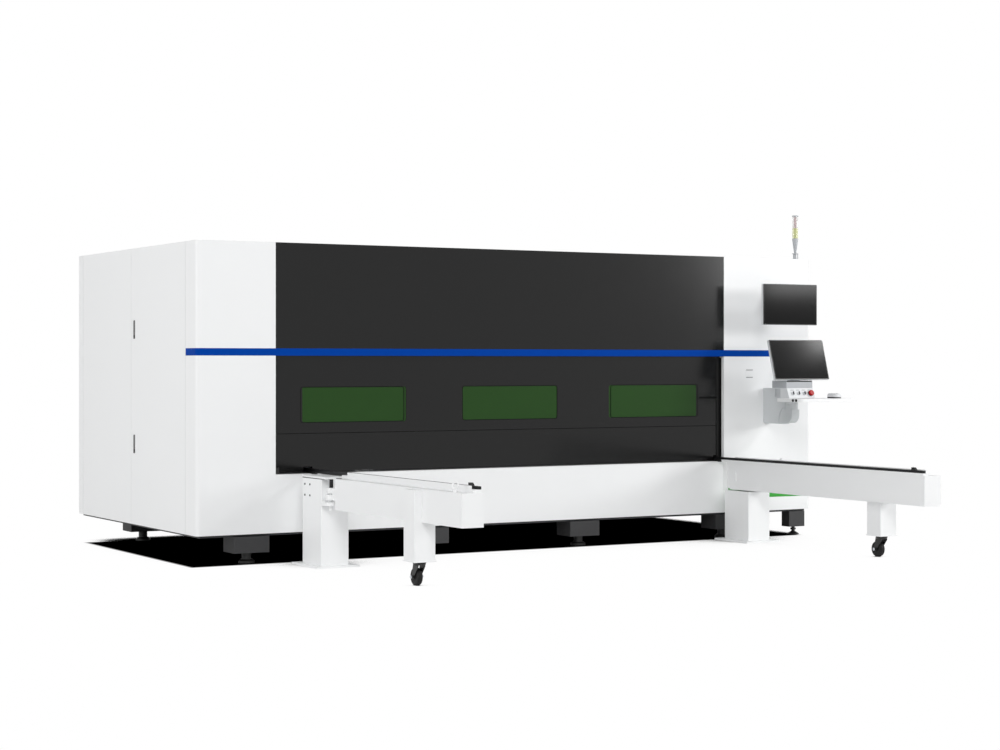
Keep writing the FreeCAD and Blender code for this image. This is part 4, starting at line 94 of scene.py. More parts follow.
# ---------------------------------------------------------------- places and colours
def place(x: float, y: float, z: float) -> np.ndarray:
    """Turn a point given in millimetres into metres about the origin.

    Args:
        x: distance right of the cabin's left face.
        y: distance behind the cabin's front.
        z: height above the floor.

    Returns:
        The point as an array of three metres.
    """
    return np.array([(x - MIDDLE_X) / MM_PER_METRE, (y - MIDDLE_Y) / MM_PER_METRE,
                     z / MM_PER_METRE])


def linear(colour: str) -> tuple[float, float, float, float]:
    """Turn an sRGB hex colour into the linear values that shaders take.

    A dark value is divided by 12.92; a brighter one v becomes ((v + 0.055) / 1.055) ** 2.4.

    Args:
        colour: six hex digits after a hash.

    Returns:
        Linear red, green, blue and an alpha of one.
    """
    raw = np.array([int(colour[i:i + 2], 16) / 255.0 for i in (1, 3, 5)])
    low = raw / 12.92
    high = ((raw + 0.055) / 1.055) ** 2.4
    value = np.where(raw <= 0.04045, low, high)
    return (float(value[0]), float(value[1]), float(value[2]), 1.0)


# ---------------------------------------------------------------- surfaces
# faces that meet at less than these angles, in degrees, are shaded smooth
EDGE_ANGLE = 35.0
ROUND_BAR_ANGLE = 80.0
# least radius in metres, which keeps a skin closed and its faces real
LEAST_RADIUS = 1e-6


@dataclass(frozen=True)
class Blank:
    """A flat plate in metres: its outline, thickness, corner radius and front edge radius."""

    width: float
    height: float
    thick: float
    corner: float
    edge: float


def mesh_from_rings(name: str, rings: np.ndarray, loop: bool = False) -> bpy.types.Object:
    """Join rings of points into a closed skin.

    Each ring holds n points; neighbouring rings are joined by quads. With loop the last ring
    joins the first, otherwise a centre point closes each end.

    Args:
        name: name of the piece.
        rings: array of k rings, n points, three metres each, wound so faces point outwards.
        loop: True when the rings go round and meet.

    Returns:
        The new object, linked to the scene.
    """
    count, around = rings.shape[:2]
    points = rings.reshape(-1, 3)
    span = count if loop else count - 1
    row = np.repeat(np.arange(span), around)
    col = np.tile(np.arange(around), span)
    following = (col + 1) % around
    above = (row + 1) % count
    quads = np.stack([row * around + col, row * around + following,
                      above * around + following, above * around + col], axis=1)
    faces = quads.tolist()
    if not loop:
        ends = np.stack([rings[0].mean(axis=0), rings[-1].mean(axis=0)])
        base = len(points)
        points = np.vstack([points, ends])
        step = np.arange(around)
        ahead = (step + 1) % around
        first = np.stack([ahead, step, np.full(around, base)], axis=1)
        shift = (count - 1) * around
        last = np.stack([step + shift, ahead + shift, np.full(around, base + 1)], axis=1)
        faces = faces + first.tolist() + last.tolist()
    mesh = bpy.data.meshes.new(name)
    mesh.from_pydata(points.tolist(), [], faces)
    mesh.update()
    piece = bpy.data.objects.new(name, mesh)
    bpy.context.scene.collection.objects.link(piece)
    return piece


def smooth(piece: bpy.types.Object, angle: float = EDGE_ANGLE) -> bpy.types.Object:
    """Shade a piece smooth where its faces meet at a small angle.

    Args:
        piece: the piece to shade.
        angle: the largest angle in degrees that is still shaded smooth.

    Returns:
        The same piece.
    """
    piece.data.polygons.foreach_set("use_smooth", [True] * len(piece.data.polygons))
    piece.data.set_sharp_from_angle(angle=math.radians(angle))
    return piece


def round_angles(count: int) -> np.ndarray:
    """Give a number of even angles in one full turn, its end left out."""
    return np.linspace(0.0, FULL_TURN, count, endpoint=False)


def basis(normal: np.ndarray, up: np.ndarray) -> tuple[np.ndarray, np.ndarray, np.ndarray]:
    """Make three unit directions: across, up and out.

    Args:
        normal: the direction that points out of the surface.
        up: a direction that is roughly up along the surface.

    Returns:
        Unit vectors across, up and out, right-handed.
    """
    out = normal / np.linalg.norm(normal)
    across = np.cross(up, out)
    across = across / np.linalg.norm(across)
    return across, np.cross(out, across), out


def rounded_outline(width: float, height: float, radius: float, corner: int = 5) -> np.ndarray:
    """Outline of a rounded rectangle about the origin, anticlockwise.

    A point is the corner's centre plus the radius times (cos t, sin t), with t running a
    quarter turn in each of the four corners.

    Args:
        width: full width.
        height: full height.
        radius: corner radius.
        corner: points in each corner.

    Returns:
        Array of points, two coordinates each.
    """
    room = min(width, height) / 2.0 - LEAST_RADIUS
    radius = max(min(radius, room), LEAST_RADIUS)
    turn = np.linspace(0.0, QUARTER_TURN, corner)
    angles = np.arange(4)[:, None] * QUARTER_TURN + turn[None, :]
    sign_x = np.array([1.0, -1.0, -1.0, 1.0])[:, None]
    sign_y = np.array([1.0, 1.0, -1.0, -1.0])[:, None]
    x = sign_x * (width / 2.0 - radius) + radius * np.cos(angles)
    y = sign_y * (height / 2.0 - radius) + radius * np.sin(angles)
    return np.stack([x.ravel(), y.ravel()], axis=1)


def plate(name: str, centre: np.ndarray, blank: Blank, normal: np.ndarray, up: np.ndarray
          ) -> bpy.types.Object:
    """A flat plate with a rounded outline and a rounded front edge.

    The outline shrinks along a quarter circle of the edge radius as it rises to the face,
    and once more on the face, which keeps the face flat to the eye.

    Args:
        name: name of the piece.
        centre: middle of the plate's back face, metres.
        blank: the plate's sizes.
        normal: direction of the face.
        up: direction of the height.

    Returns:
        The new object.
    """
    edge_rings = 4
    face_start = blank.edge * 1.6 + 1e-4
    least_corner = 1e-5
    across, rise, out = basis(normal, up)
    turn = np.linspace(0.0, QUARTER_TURN, edge_rings)
    inset = np.concatenate([[0.0], blank.edge * (1.0 - np.cos(turn)), [face_start]])
    level = np.concatenate([[0.0], blank.thick - blank.edge + blank.edge * np.sin(turn),
                            [blank.thick]])
    rings = []
    for shrink, lift in zip(inset, level):
        flat = rounded_outline(blank.width - 2.0 * shrink, blank.height - 2.0 * shrink,
                               max(blank.corner - shrink, least_corner))
        rings.append(centre + flat[:, :1] * across + flat[:, 1:] * rise + lift * out)
    return smooth(mesh_from_rings(name, np.array(rings)))


def carried_round(profile: Profile | np.ndarray, foot: np.ndarray, axis: np.ndarray,
                  around: int) -> np.ndarray:
    """Carry a (radius, height) profile round an axis.

    A point is foot + height * axis + radius * (cos t * side + sin t * front).

    Args:
        profile: radius and height in metres.
        foot: point on the axis at height zero.
        axis: direction of the axis.
        around: points in a turn.

    Returns:
        Array with one ring of points for each point of the profile.
    """
    upright = 0.9
    guide = BACK if abs(axis[2]) > upright else UP
    side, front, out = basis(axis, guide)
    angle = round_angles(around)
    outline = np.array(profile)
    ring = np.cos(angle)[:, None] * side + np.sin(angle)[:, None] * front
    return (foot + outline[:, 1][:, None, None] * out
            + np.maximum(outline[:, 0], LEAST_RADIUS)[:, None, None] * ring[None])


def turned(name: str, profile: Profile | np.ndarray, foot: np.ndarray, axis: np.ndarray,
           around: int = 32) -> bpy.types.Object:
    """A full turned piece, closed at both ends: see carried_round for its formula.

    Args:
        name: name of the piece.
        profile: radius and height in metres, from the bottom to the top.
        foot: point on the axis at height zero.
        axis: direction of the axis.
        around: points in a turn.

    Returns:
        The new object.
    """
    return smooth(mesh_from_rings(name, carried_round(profile, foot, axis, around)))


def turned_ring(name: str, profile: Profile, foot: np.ndarray, axis: np.ndarray,
                around: int = 40) -> bpy.types.Object:
    """A turned ring with a hole, from a closed profile: see carried_round for its formula.

    Args:
        name: name of the piece.
        profile: radius and height in metres, clockwise with the radius drawn to the right.
        foot: point on the axis at height zero.
        axis: direction of the axis.
        around: points in a turn.

    Returns:
        The new object.
    """
    rings = carried_round(profile, foot, axis, around).transpose(1, 0, 2)
    return smooth(mesh_from_rings(name, rings, loop=True))


def frame_cord(name: str, centre: np.ndarray, outline: tuple[float, float, float],
               thick: float, normal: np.ndarray, up: np.ndarray) -> bpy.types.Object:
    """A round cord laid along a rounded rectangle, as a rubber gasket is.

    At each outline point a small circle of half the thickness goes round the outline.

    Args:
        name: name of the piece.
        centre: middle of the outline.
        outline: width, height and corner radius of the outline.
        thick: diameter of the cord.
        normal: direction out of the surface.
        up: direction of the height.

    Returns:
        The new object.
    """
    across, rise, out = basis(normal, up)
    flat = rounded_outline(*outline, corner=7)
    ahead = np.roll(flat, -1, axis=0) - np.roll(flat, 1, axis=0)
    ahead = ahead / np.linalg.norm(ahead, axis=1)[:, None]
    side = np.stack([ahead[:, 1], -ahead[:, 0]], axis=1)
    turn = round_angles(8)
    half = thick / 2.0
    flat_points = flat[:, None, :] + half * np.cos(turn)[None, :, None] * side[:, None, :]
    rings = (centre + flat_points[..., :1] * across + flat_points[..., 1:] * rise
             + (half * np.sin(turn))[None, :, None] * out)
    return smooth(mesh_from_rings(name, rings, loop=True), ROUND_BAR_ANGLE)


def bar_ring(name: str, centre: np.ndarray, radius: float, bar: float, axis: np.ndarray
             ) -> bpy.types.Object:
    """An upright ring of round bar.

    A point is centre + (radius + bar * cos s) * (cos t * side + sin t * up) + bar * sin s * axis.

    Args:
        name: name of the piece.
        centre: middle of the ring.
        radius: radius of the bar's middle line.
        bar: radius of the bar.
        axis: level direction that the ring's hole faces.

    Returns:
        The new object.
    """
    side = np.cross(UP, axis)
    turn = round_angles(32)
    wind = round_angles(12)
    out = np.cos(turn)[:, None] * side + np.sin(turn)[:, None] * UP
    rings = (centre + (radius + bar * np.cos(wind))[None, :, None] * out[:, None, :]
             + (bar * np.sin(wind))[None, :, None] * axis)
    return smooth(mesh_from_rings(name, rings, loop=True), ROUND_BAR_ANGLE)


# ---------------------------------------------------------------- finishes
def add_node(tree: bpy.types.NodeTree, kind: str, settings: dict | None = None,
             links: dict | None = None) -> bpy.types.Node:
    """Add one shader node with its settings and its incoming links.

    Args:
        tree: the material's node tree.
        kind: Blender's name of the node type.
        settings: attributes by name, or input values by input name or number.
        links: input name or number to the output socket that feeds it.

    Returns:
        The new node.
    """
    node = tree.nodes.new(kind)
    for key, value in (settings or {}).items():
        if isinstance(key, str) and hasattr(node, key):
            setattr(node, key, value)
        else:
            node.inputs[key].default_value = value
    for key, socket in (links or {}).items():
        tree.links.new(socket, node.inputs[key])
    return node


class Texture(Enum):
    """The surface that a making process leaves."""

    SMOOTH = "smooth"
    ORANGE_PEEL = "orange peel"
    BRUSHED = "brushed"
    MILL_SCALE = "mill scale"
    SPANGLE = "spangle"
    MOULDED = "moulded"


# the shiniest that a texture may make a finish
LEAST_ROUGHNESS = 0.02
# how many finer layers the noise of each texture has
NOISE_DETAIL = {Texture.SMOOTH: 1.0, Texture.ORANGE_PEEL: 2.0, Texture.BRUSHED: 6.0,
                Texture.MILL_SCALE: 8.0, Texture.MOULDED: 3.0}


@dataclass(frozen=True)
class Finish:
    """One real surface: its colour, its shine and the texture its making leaves.

    The texture mixes colour and second and moves the roughness by spread either way.
    pattern_mm is the size of the texture, depth_mm its depth, and stretch draws it out along
    an axis, as brush lines are. Orange peel (2 mm in truth), brush lines (0.1 mm) and moulding
    grain (0.1 mm) are too fine to show from the camera, so their pattern_mm is as coarse as
    they need to show.
    """

    name: str
    colour: str
    second: str
    metallic: float = 0.0
    roughness: float = 0.5
    ior: float = 1.5
    coat: float = 0.0
    coat_roughness: float = 0.05
    texture: Texture = Texture.SMOOTH
    pattern_mm: float = 2.0
    depth_mm: float = 0.02
    spread: float = 0.04
    specular: float = 0.5
    stretch: tuple[float, float, float] = (1.0, 1.0, 1.0)
    alpha: float = 1.0
    # slow clouds in the coat, so many to the metre, and their share of the mix
    clouds_per_metre: float = 1.3
    cloud_share: float = 0.45

    def build(self) -> bpy.types.Material:
        """Make the material.

        Returns:
            The material with its node tree.
        """
        material = bpy.data.materials.new(self.name)
        material.use_nodes = True
        tree = material.node_tree
        tree.nodes.clear()
        where = add_node(tree, "ShaderNodeTexCoord")
        mapped = add_node(tree, "ShaderNodeMapping", {"Scale": self.stretch},
                          {"Vector": where.outputs["Object"]})
        fine = self.pattern(tree, mapped.outputs["Vector"])
        clouds = add_node(tree, "ShaderNodeTexNoise",
                          {"Scale": self.clouds_per_metre, "Detail": 3.0},
                          {"Vector": where.outputs["Object"]})
        share = add_node(tree, "ShaderNodeMath",
                         {"operation": "MULTIPLY", 1: 1.0 - self.cloud_share}, {0: fine})
        both = add_node(tree, "ShaderNodeMath",
                        {"operation": "MULTIPLY_ADD", 1: self.cloud_share},
                        {0: clouds.outputs["Fac"], 2: share.outputs[0]})
        tint = add_node(tree, "ShaderNodeMix", {"data_type": "RGBA", 6: linear(self.colour),
                                                7: linear(self.second)}, {0: both.outputs[0]})
        rough = add_node(tree, "ShaderNodeMapRange",
                         {"To Min": max(self.roughness - self.spread, LEAST_ROUGHNESS),
                          "To Max": min(self.roughness + self.spread, 1.0)},
                         {"Value": both.outputs[0]})
        bump = add_node(tree, "ShaderNodeBump",
                        {"Strength": 1.0, "Distance": self.depth_mm / MM_PER_METRE},
                        {"Height": fine})
        shader = add_node(tree, "ShaderNodeBsdfPrincipled",
                          {"Metallic": self.metallic, "IOR": self.ior, "Alpha": self.alpha,
                           "Specular IOR Level": self.specular,
                           "Coat Weight": self.coat, "Coat Roughness": self.coat_roughness},
                          {"Base Color": tint.outputs[2], "Roughness": rough.outputs[0],
                           "Normal": bump.outputs["Normal"]})
        add_node(tree, "ShaderNodeOutputMaterial", links={"Surface": shader.outputs[0]})
        material.diffuse_color = linear(self.colour)
        return material

    def pattern(self, tree: bpy.types.NodeTree, vector: bpy.types.NodeSocket
                ) -> bpy.types.NodeSocket:
        """Add the texture of the making process.

        Args:
            tree: the material's node tree.
            vector: the socket that gives the place on the piece.

        Returns:
            The socket with a value from zero to one.
        """
        per_metre = MM_PER_METRE / self.pattern_mm
        if self.texture is Texture.SPANGLE:
            cell = add_node(tree, "ShaderNodeTexVoronoi", {"Scale": per_metre},
                            {"Vector": vector})
            grey = add_node(tree, "ShaderNodeSeparateColor", links={0: cell.outputs["Color"]})
            return grey.outputs[0]
        noise = add_node(tree, "ShaderNodeTexNoise",
                         {"Scale": per_metre, "Detail": NOISE_DETAIL[self.texture],
                          "Roughness": 0.6}, {"Vector": vector})
        return noise.outputs["Fac"]


class Finishes:
    """Every finish on the machine."""

    # polyester powder coat, sprayed and baked: satin white with a faint orange peel
    WHITE = Finish("white_powder_coat", "#F4F5F5", "#F0F1F2", roughness=0.38,
                   texture=Texture.ORANGE_PEEL, pattern_mm=6.0, depth_mm=0.03)
    # the same coat in light grey on tubes and cabinets
    GREY = Finish("grey_powder_coat", "#D2D4D6", "#CBCDD0", roughness=0.42,
                  texture=Texture.ORANGE_PEEL, pattern_mm=6.0, depth_mm=0.03)
    # cast aluminium sprayed pale grey, a touch darker than the cabin's sheet: partly its own
    # grey, partly painted shade of the wall, shelf and screens around it
    CAST_WITH_PAINTED_SHADE = Finish("pale_grey_casting_coat_and_painted_shade", "#CBCED0", "#D0D3D5", roughness=0.45,
                  texture=Texture.ORANGE_PEEL, pattern_mm=4.0, depth_mm=0.05)
    # two-pack gloss lacquer on sheet: nearly black, it shows the room as a soft grey veil
    BLACK_GLOSS = Finish("black_gloss_lacquer", "#080808", "#050505", roughness=0.16, ior=1.39,
                         pattern_mm=240.0, depth_mm=0.01, spread=0.02)
    # satin black enamel on folded channels: dark, with a dull sheen along the folds
    BLACK = Finish("black_satin_enamel", "#0B0B0B", "#101010", roughness=0.45,
                   texture=Texture.ORANGE_PEEL, pattern_mm=5.0, depth_mm=0.03)
    # deep blue matt film, rolled on: hardly any shine on top of the colour
    BLUE = Finish("blue_vinyl_film", "#01409F", "#013D9A", roughness=0.55, specular=0.03,
                  pattern_mm=30.0, depth_mm=0.01)
    # coarse dark enamel brushed on the welded bed: matt, it swallows the light below
    BED = Finish("grey_bed_enamel", "#2E2E2F", "#262628", roughness=0.6,
                 texture=Texture.ORANGE_PEEL, pattern_mm=4.0, depth_mm=0.08)
    # stoved enamel with a thin clear coat: a strong, even green with a satin shine
    GREEN = Finish("green_enamel", "#1FA31E", "#1B981B", roughness=0.36, coat=0.1,
                   texture=Texture.ORANGE_PEEL, pattern_mm=6.0, depth_mm=0.03)
    # extruded sheet that absorbs the beam: dark green, glossy
    PANE = Finish("laser_safe_polycarbonate", "#1C420E", "#1A3F0C", roughness=0.2, ior=1.3,
                  pattern_mm=160.0, depth_mm=0.01, spread=0.02)
    # hardened strip with black oxide, rubbed bright along its length
    RAIL = Finish("black_oxide_rail", "#0C0C0D", "#1A1A1C", metallic=0.35, roughness=0.35,
                  texture=Texture.BRUSHED, pattern_mm=1.5, depth_mm=0.01,
                  stretch=(1.0, 0.03, 1.0))
    # ground steel of gantry rails and rolling wheels: bright, with fine lines along the rail
    GROUND = Finish("ground_steel", "#B4B6BA", "#9EA1A6", metallic=1.0, roughness=0.3,
                    texture=Texture.BRUSHED, pattern_mm=1.2, depth_mm=0.01,
                    stretch=(1.0, 0.04, 1.0))
    # slats cut from hot-rolled plate: its scale leaves grey and brown blotches
    SLAT = Finish("mill_scale_plate", "#6E6C6A", "#4B4744", metallic=0.8, roughness=0.55,
                  texture=Texture.MILL_SCALE, pattern_mm=14.0, depth_mm=0.12, spread=0.12)
    # electroplated nuts: bright bluish silver
    ZINC = Finish("bright_zinc_plate", "#C9CCD1", "#B7BBC2", metallic=1.0, roughness=0.22,
                  pattern_mm=8.0, depth_mm=0.02, spread=0.06)
    # hot-dip galvanised sheet: grey crystals about as wide as a fingernail
    DUCT = Finish("galvanised_sheet", "#C3C8CC", "#A2A8AE", metallic=0.9, roughness=0.4,
                  texture=Texture.SPANGLE, pattern_mm=14.0, depth_mm=0.01, spread=0.08)
    # machined and anodised aluminium: pale metal with fine turning lines
    ALLOY = Finish("anodised_aluminium", "#CFD1D3", "#C2C4C7", metallic=1.0, roughness=0.32,
                   texture=Texture.BRUSHED, pattern_mm=1.0, depth_mm=0.01,
                   stretch=(1.0, 1.0, 0.05))
    # turned copper: warm, bright metal
    COPPER = Finish("machined_copper", "#C77C50", "#B86E44", metallic=1.0, roughness=0.25,
                    texture=Texture.BRUSHED, pattern_mm=0.8, depth_mm=0.005)
    # fired and glazed: creamy white with a clear gloss
    CERAMIC = Finish("glazed_ceramic", "#EDEBE4", "#E6E3DA", roughness=0.25,
                     pattern_mm=10.0, depth_mm=0.005)
    # tread cast round the wheel: deep black, dull from rolling
    RUBBER = Finish("polyurethane_tread", "#141414", "#1C1C1C", roughness=0.6,
                    texture=Texture.MOULDED, pattern_mm=1.5, depth_mm=0.05, specular=0.2)
    # extruded rubber of cords, seals and pads: matt, almost without shine
    GASKET = Finish("epdm_gasket", "#101010", "#161616", roughness=0.7,
                    texture=Texture.MOULDED, pattern_mm=2.0, depth_mm=0.05, specular=0.06)
    # injection moulded housings: pale, soft sheen, finest grain
    CASING = Finish("pale_abs_moulding", "#E3E5E7", "#DCDEE0", roughness=0.45,
                    texture=Texture.MOULDED, pattern_mm=1.2, depth_mm=0.03)
    # the same plastic in mid grey
    GREY_ABS = Finish("grey_abs_moulding", "#B2B5B9", "#B7BABE", roughness=0.48,
                      texture=Texture.MOULDED, pattern_mm=1.2, depth_mm=0.03)
    # the same plastic in black, from a polished mould: a clear sheen
    BLACK_ABS = Finish("black_abs_moulding", "#101011", "#161617", roughness=0.3,
                       texture=Texture.MOULDED, pattern_mm=1.0, depth_mm=0.02)
    # anti-glare glass over a switched-off panel: black, with a soft sheen
    GLASS_FACE = Finish("screen_glass", "#020202", "#010101", roughness=0.09, ior=1.25,
                        pattern_mm=200.0, depth_mm=0.002, spread=0.01)
    # moulded stop button: full red with little shine
    RED = Finish("signal_red_abs", "#B3060B", "#A8060A", roughness=0.32, specular=0.2,
                 texture=Texture.MOULDED, pattern_mm=1.0, depth_mm=0.01)
    # extruded acrylic tube of the signal tower: clear above, faintly yellow below
    TUBE_CLEAR = Finish("clear_acrylic", "#F6F6F4", "#F1F1EF", roughness=0.08, ior=1.49,
                        pattern_mm=20.0, depth_mm=0.005, alpha=0.28)
    TUBE_YELLOW = Finish("yellow_tinted_acrylic", "#F1F2C0", "#ECEDB4", roughness=0.08, ior=1.49,
                         pattern_mm=20.0, depth_mm=0.005, alpha=0.34)
    # moulded light guides, unlit: dusty red and dusty green seen through the tube
    CORE_RED = Finish("red_lamp_core", "#9C4A56", "#A65560", roughness=0.35,
                      texture=Texture.MOULDED, pattern_mm=4.0, depth_mm=0.05)
    CORE_GREEN = Finish("green_lamp_core", "#8B9C48", "#93A552", roughness=0.35,
                        texture=Texture.MOULDED, pattern_mm=4.0, depth_mm=0.05)
    # moulded levers and gap lines: dark grey, softer than the black parts
    LEVER = Finish("dark_grey_abs_moulding", "#3A3D40", "#34373A", roughness=0.4,
                   texture=Texture.MOULDED, pattern_mm=1.0, depth_mm=0.02)
    # blackened steel of screws and pins: dark, with a dull metal sheen
    DARK_STEEL = Finish("blackened_steel", "#1B1B1D", "#28282B", metallic=0.6, roughness=0.42,
                        texture=Texture.MILL_SCALE, pattern_mm=3.0, depth_mm=0.01)
    # pressed aluminium legend plates, anodised grey and left blank
    LEGEND = Finish("anodised_legend_plate", "#8D9196", "#84888D", roughness=0.5,
                    pattern_mm=10.0, depth_mm=0.002)


# which of the solids wears which finish
WEARERS: dict[Finish, tuple[str, ...]] = {
    Finishes.WHITE: ("left_front_pillar", "right_front_pillar", "front_skirt",
                     "right_side_panel", "rear_cover", "roof_cover", "left_front_door",
                     "left_rear_door", "head_carriage", "left_post", "right_post", "left_arm",
                     "right_arm", "console_shelf", "monitor_bracket"),
    Finishes.BLACK_GLOSS: ("upper_front_panel", "lift_door", "drawer_front"),
    Finishes.BLUE: ("blue_band",),
    Finishes.GREEN: ("lower_hatch",),
    Finishes.PANE: ("door_windows",),
    Finishes.GREY: ("enclosure_frame", "table_frame", "gantry_beam", "electrical_cabinet",
                    "laser_source"),
    Finishes.BED: ("machine_bed",),
    Finishes.BLACK: ("levelling_feet", "door_columns", "gantry_motors", "left_caster_fork",
                     "right_caster_fork"),
    Finishes.RUBBER: ("left_caster_wheel", "right_caster_wheel"),
    Finishes.RAIL: ("table_rails", "left_arm_rail", "right_arm_rail"),
    Finishes.GROUND: ("gantry_rails", "table_wheel_left_front", "table_wheel_left_rear",
                      "table_wheel_right_front", "table_wheel_right_rear"),
    Finishes.SLAT: ("table_slats",),
    Finishes.ALLOY: ("cutting_head",),
    Finishes.DUCT: ("exhaust_collar", "scrap_tray"),
    Finishes.CAST_WITH_PAINTED_SHADE: ("support_arm",),
    Finishes.CASING: ("console_box", "mouse", "selector_knob_1", "selector_knob_2",
                      "selector_knob_3", "lower_monitor", "upper_monitor"),
    Finishes.GREY_ABS: ("tower_body", "monitor_neck"),
    Finishes.BLACK_ABS: ("upper_lock", "lower_lock"),
    Finishes.RED: ("stop_button",),
    Finishes.TUBE_CLEAR: ("tower_lens",),
}
NODE_FINISH = {node: finish for finish, nodes in WEARERS.items() for node in nodes}


class Wardrobe:
    """Builds each finish once and puts it on pieces."""

    def __init__(self) -> None:
        """Start with nothing built."""
        self.made: dict[str, bpy.types.Material] = {}

    def material(self, finish: Finish) -> bpy.types.Material:
        """Give the material of a finish, made on first use.

        Args:
            finish: the finish that is wanted.

        Returns:
            Its material.
        """
        if finish.name not in self.made:
            self.made[finish.name] = finish.build()
        return self.made[finish.name]

    def dress_nodes(self, nodes: dict[str, bpy.types.Object]) -> None:
        """Put the finishes on the solids.

        Args:
            nodes: node name to object.
        """
        for name, thing in nodes.items():
            thing.data.materials.clear()
            thing.data.materials.append(self.material(NODE_FINISH[name]))
            LOG.info("%s wears %s", name, NODE_FINISH[name].name)

    def dress(self, piece: bpy.types.Object, finish: Finish, body: str) -> None:
        """Finish a new piece and let it ride on a body.

        Args:
            piece: the new piece.
            finish: its finish.
            body: the body that carries it.
        """
        piece.data.materials.clear()
        piece.data.materials.append(self.material(finish))
        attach(piece, body)
        LOG.info("%s on %s wears %s", piece.name, body, finish.name)


# ---------------------------------------------------------------- fittings
@dataclass
class Screens:
    """Black front frames, dark glass and rear vents of the two operator screens."""

    width: float = 0.482
    height: float = 0.291
    depth: float = 0.036
    lower_face: Point = (4381.0, -360.0, 1272.5)
    upper_face: Point = (4381.0, -261.0, 1663.5)
    lean_deg: float = 16.0
    bezel_rim: float = 0.0012
    bezel_sunk: float = 0.0005
    glass_rim: float = 0.007
    glass_lift: float = 0.0019
    vent: Blank = Blank(width=0.19, height=0.0036, thick=0.0005, corner=0.0018, edge=0.0002)
    vent_sunk: float = 0.0002
    vent_rises: tuple[float, ...] = (0.072, 0.080, 0.088, 0.096)

    def build(self, wardrobe: Wardrobe) -> None:
        """Fit out the lower screen, which leans back, and the upright upper one.

        Args:
            wardrobe: gives the finishes.
        """
        lean = math.radians(self.lean_deg)
        self.fit_out(wardrobe, "lower", place(*self.lower_face),
                     np.array([0.0, -math.cos(lean), math.sin(lean)]),
                     np.array([0.0, math.sin(lean), math.cos(lean)]))
        self.fit_out(wardrobe, "upper", place(*self.upper_face), FRONT, UP)

    def fit_out(self, wardrobe: Wardrobe, label: str, centre: np.ndarray, out: np.ndarray,
                up: np.ndarray) -> None:
        """Lay the frame and the glass on a screen's face and the vents on its back.

        Args:
            wardrobe: gives the finishes.
            label: lower or upper.
            centre: middle of the face.
            out: direction out of the face.
            up: direction up along the face.
        """
        body = f"screen_{label}"
        bezel = self.sheet(self.bezel_rim, thick=0.0025, corner=0.006, edge=0.0008)
        frame = plate(f"{label}_screen_bezel", centre - out * self.bezel_sunk, bezel, out, up)
        wardrobe.dress(frame, Finishes.BLACK_ABS, body)
        pane = self.sheet(self.glass_rim, thick=0.0005, corner=0.003, edge=0.0002)
        glass = plate(f"{label}_screen_glass", centre + out * self.glass_lift, pane, out, up)
        wardrobe.dress(glass, Finishes.GLASS_FACE, body)
        rear = centre - out * (self.depth - self.vent_sunk)
        for number, rise in enumerate(self.vent_rises, start=1):
            vent = plate(f"{label}_screen_vent_{number}", rear + up * rise, self.vent, -out, up)
            wardrobe.dress(vent, Finishes.BLACK_ABS, body)

    def sheet(self, rim: float, thick: float, corner: float, edge: float) -> Blank:
        """Size a sheet that leaves a rim free all round the screen's face."""
        return Blank(self.width - 2.0 * rim, self.height - 2.0 * rim, thick, corner, edge)


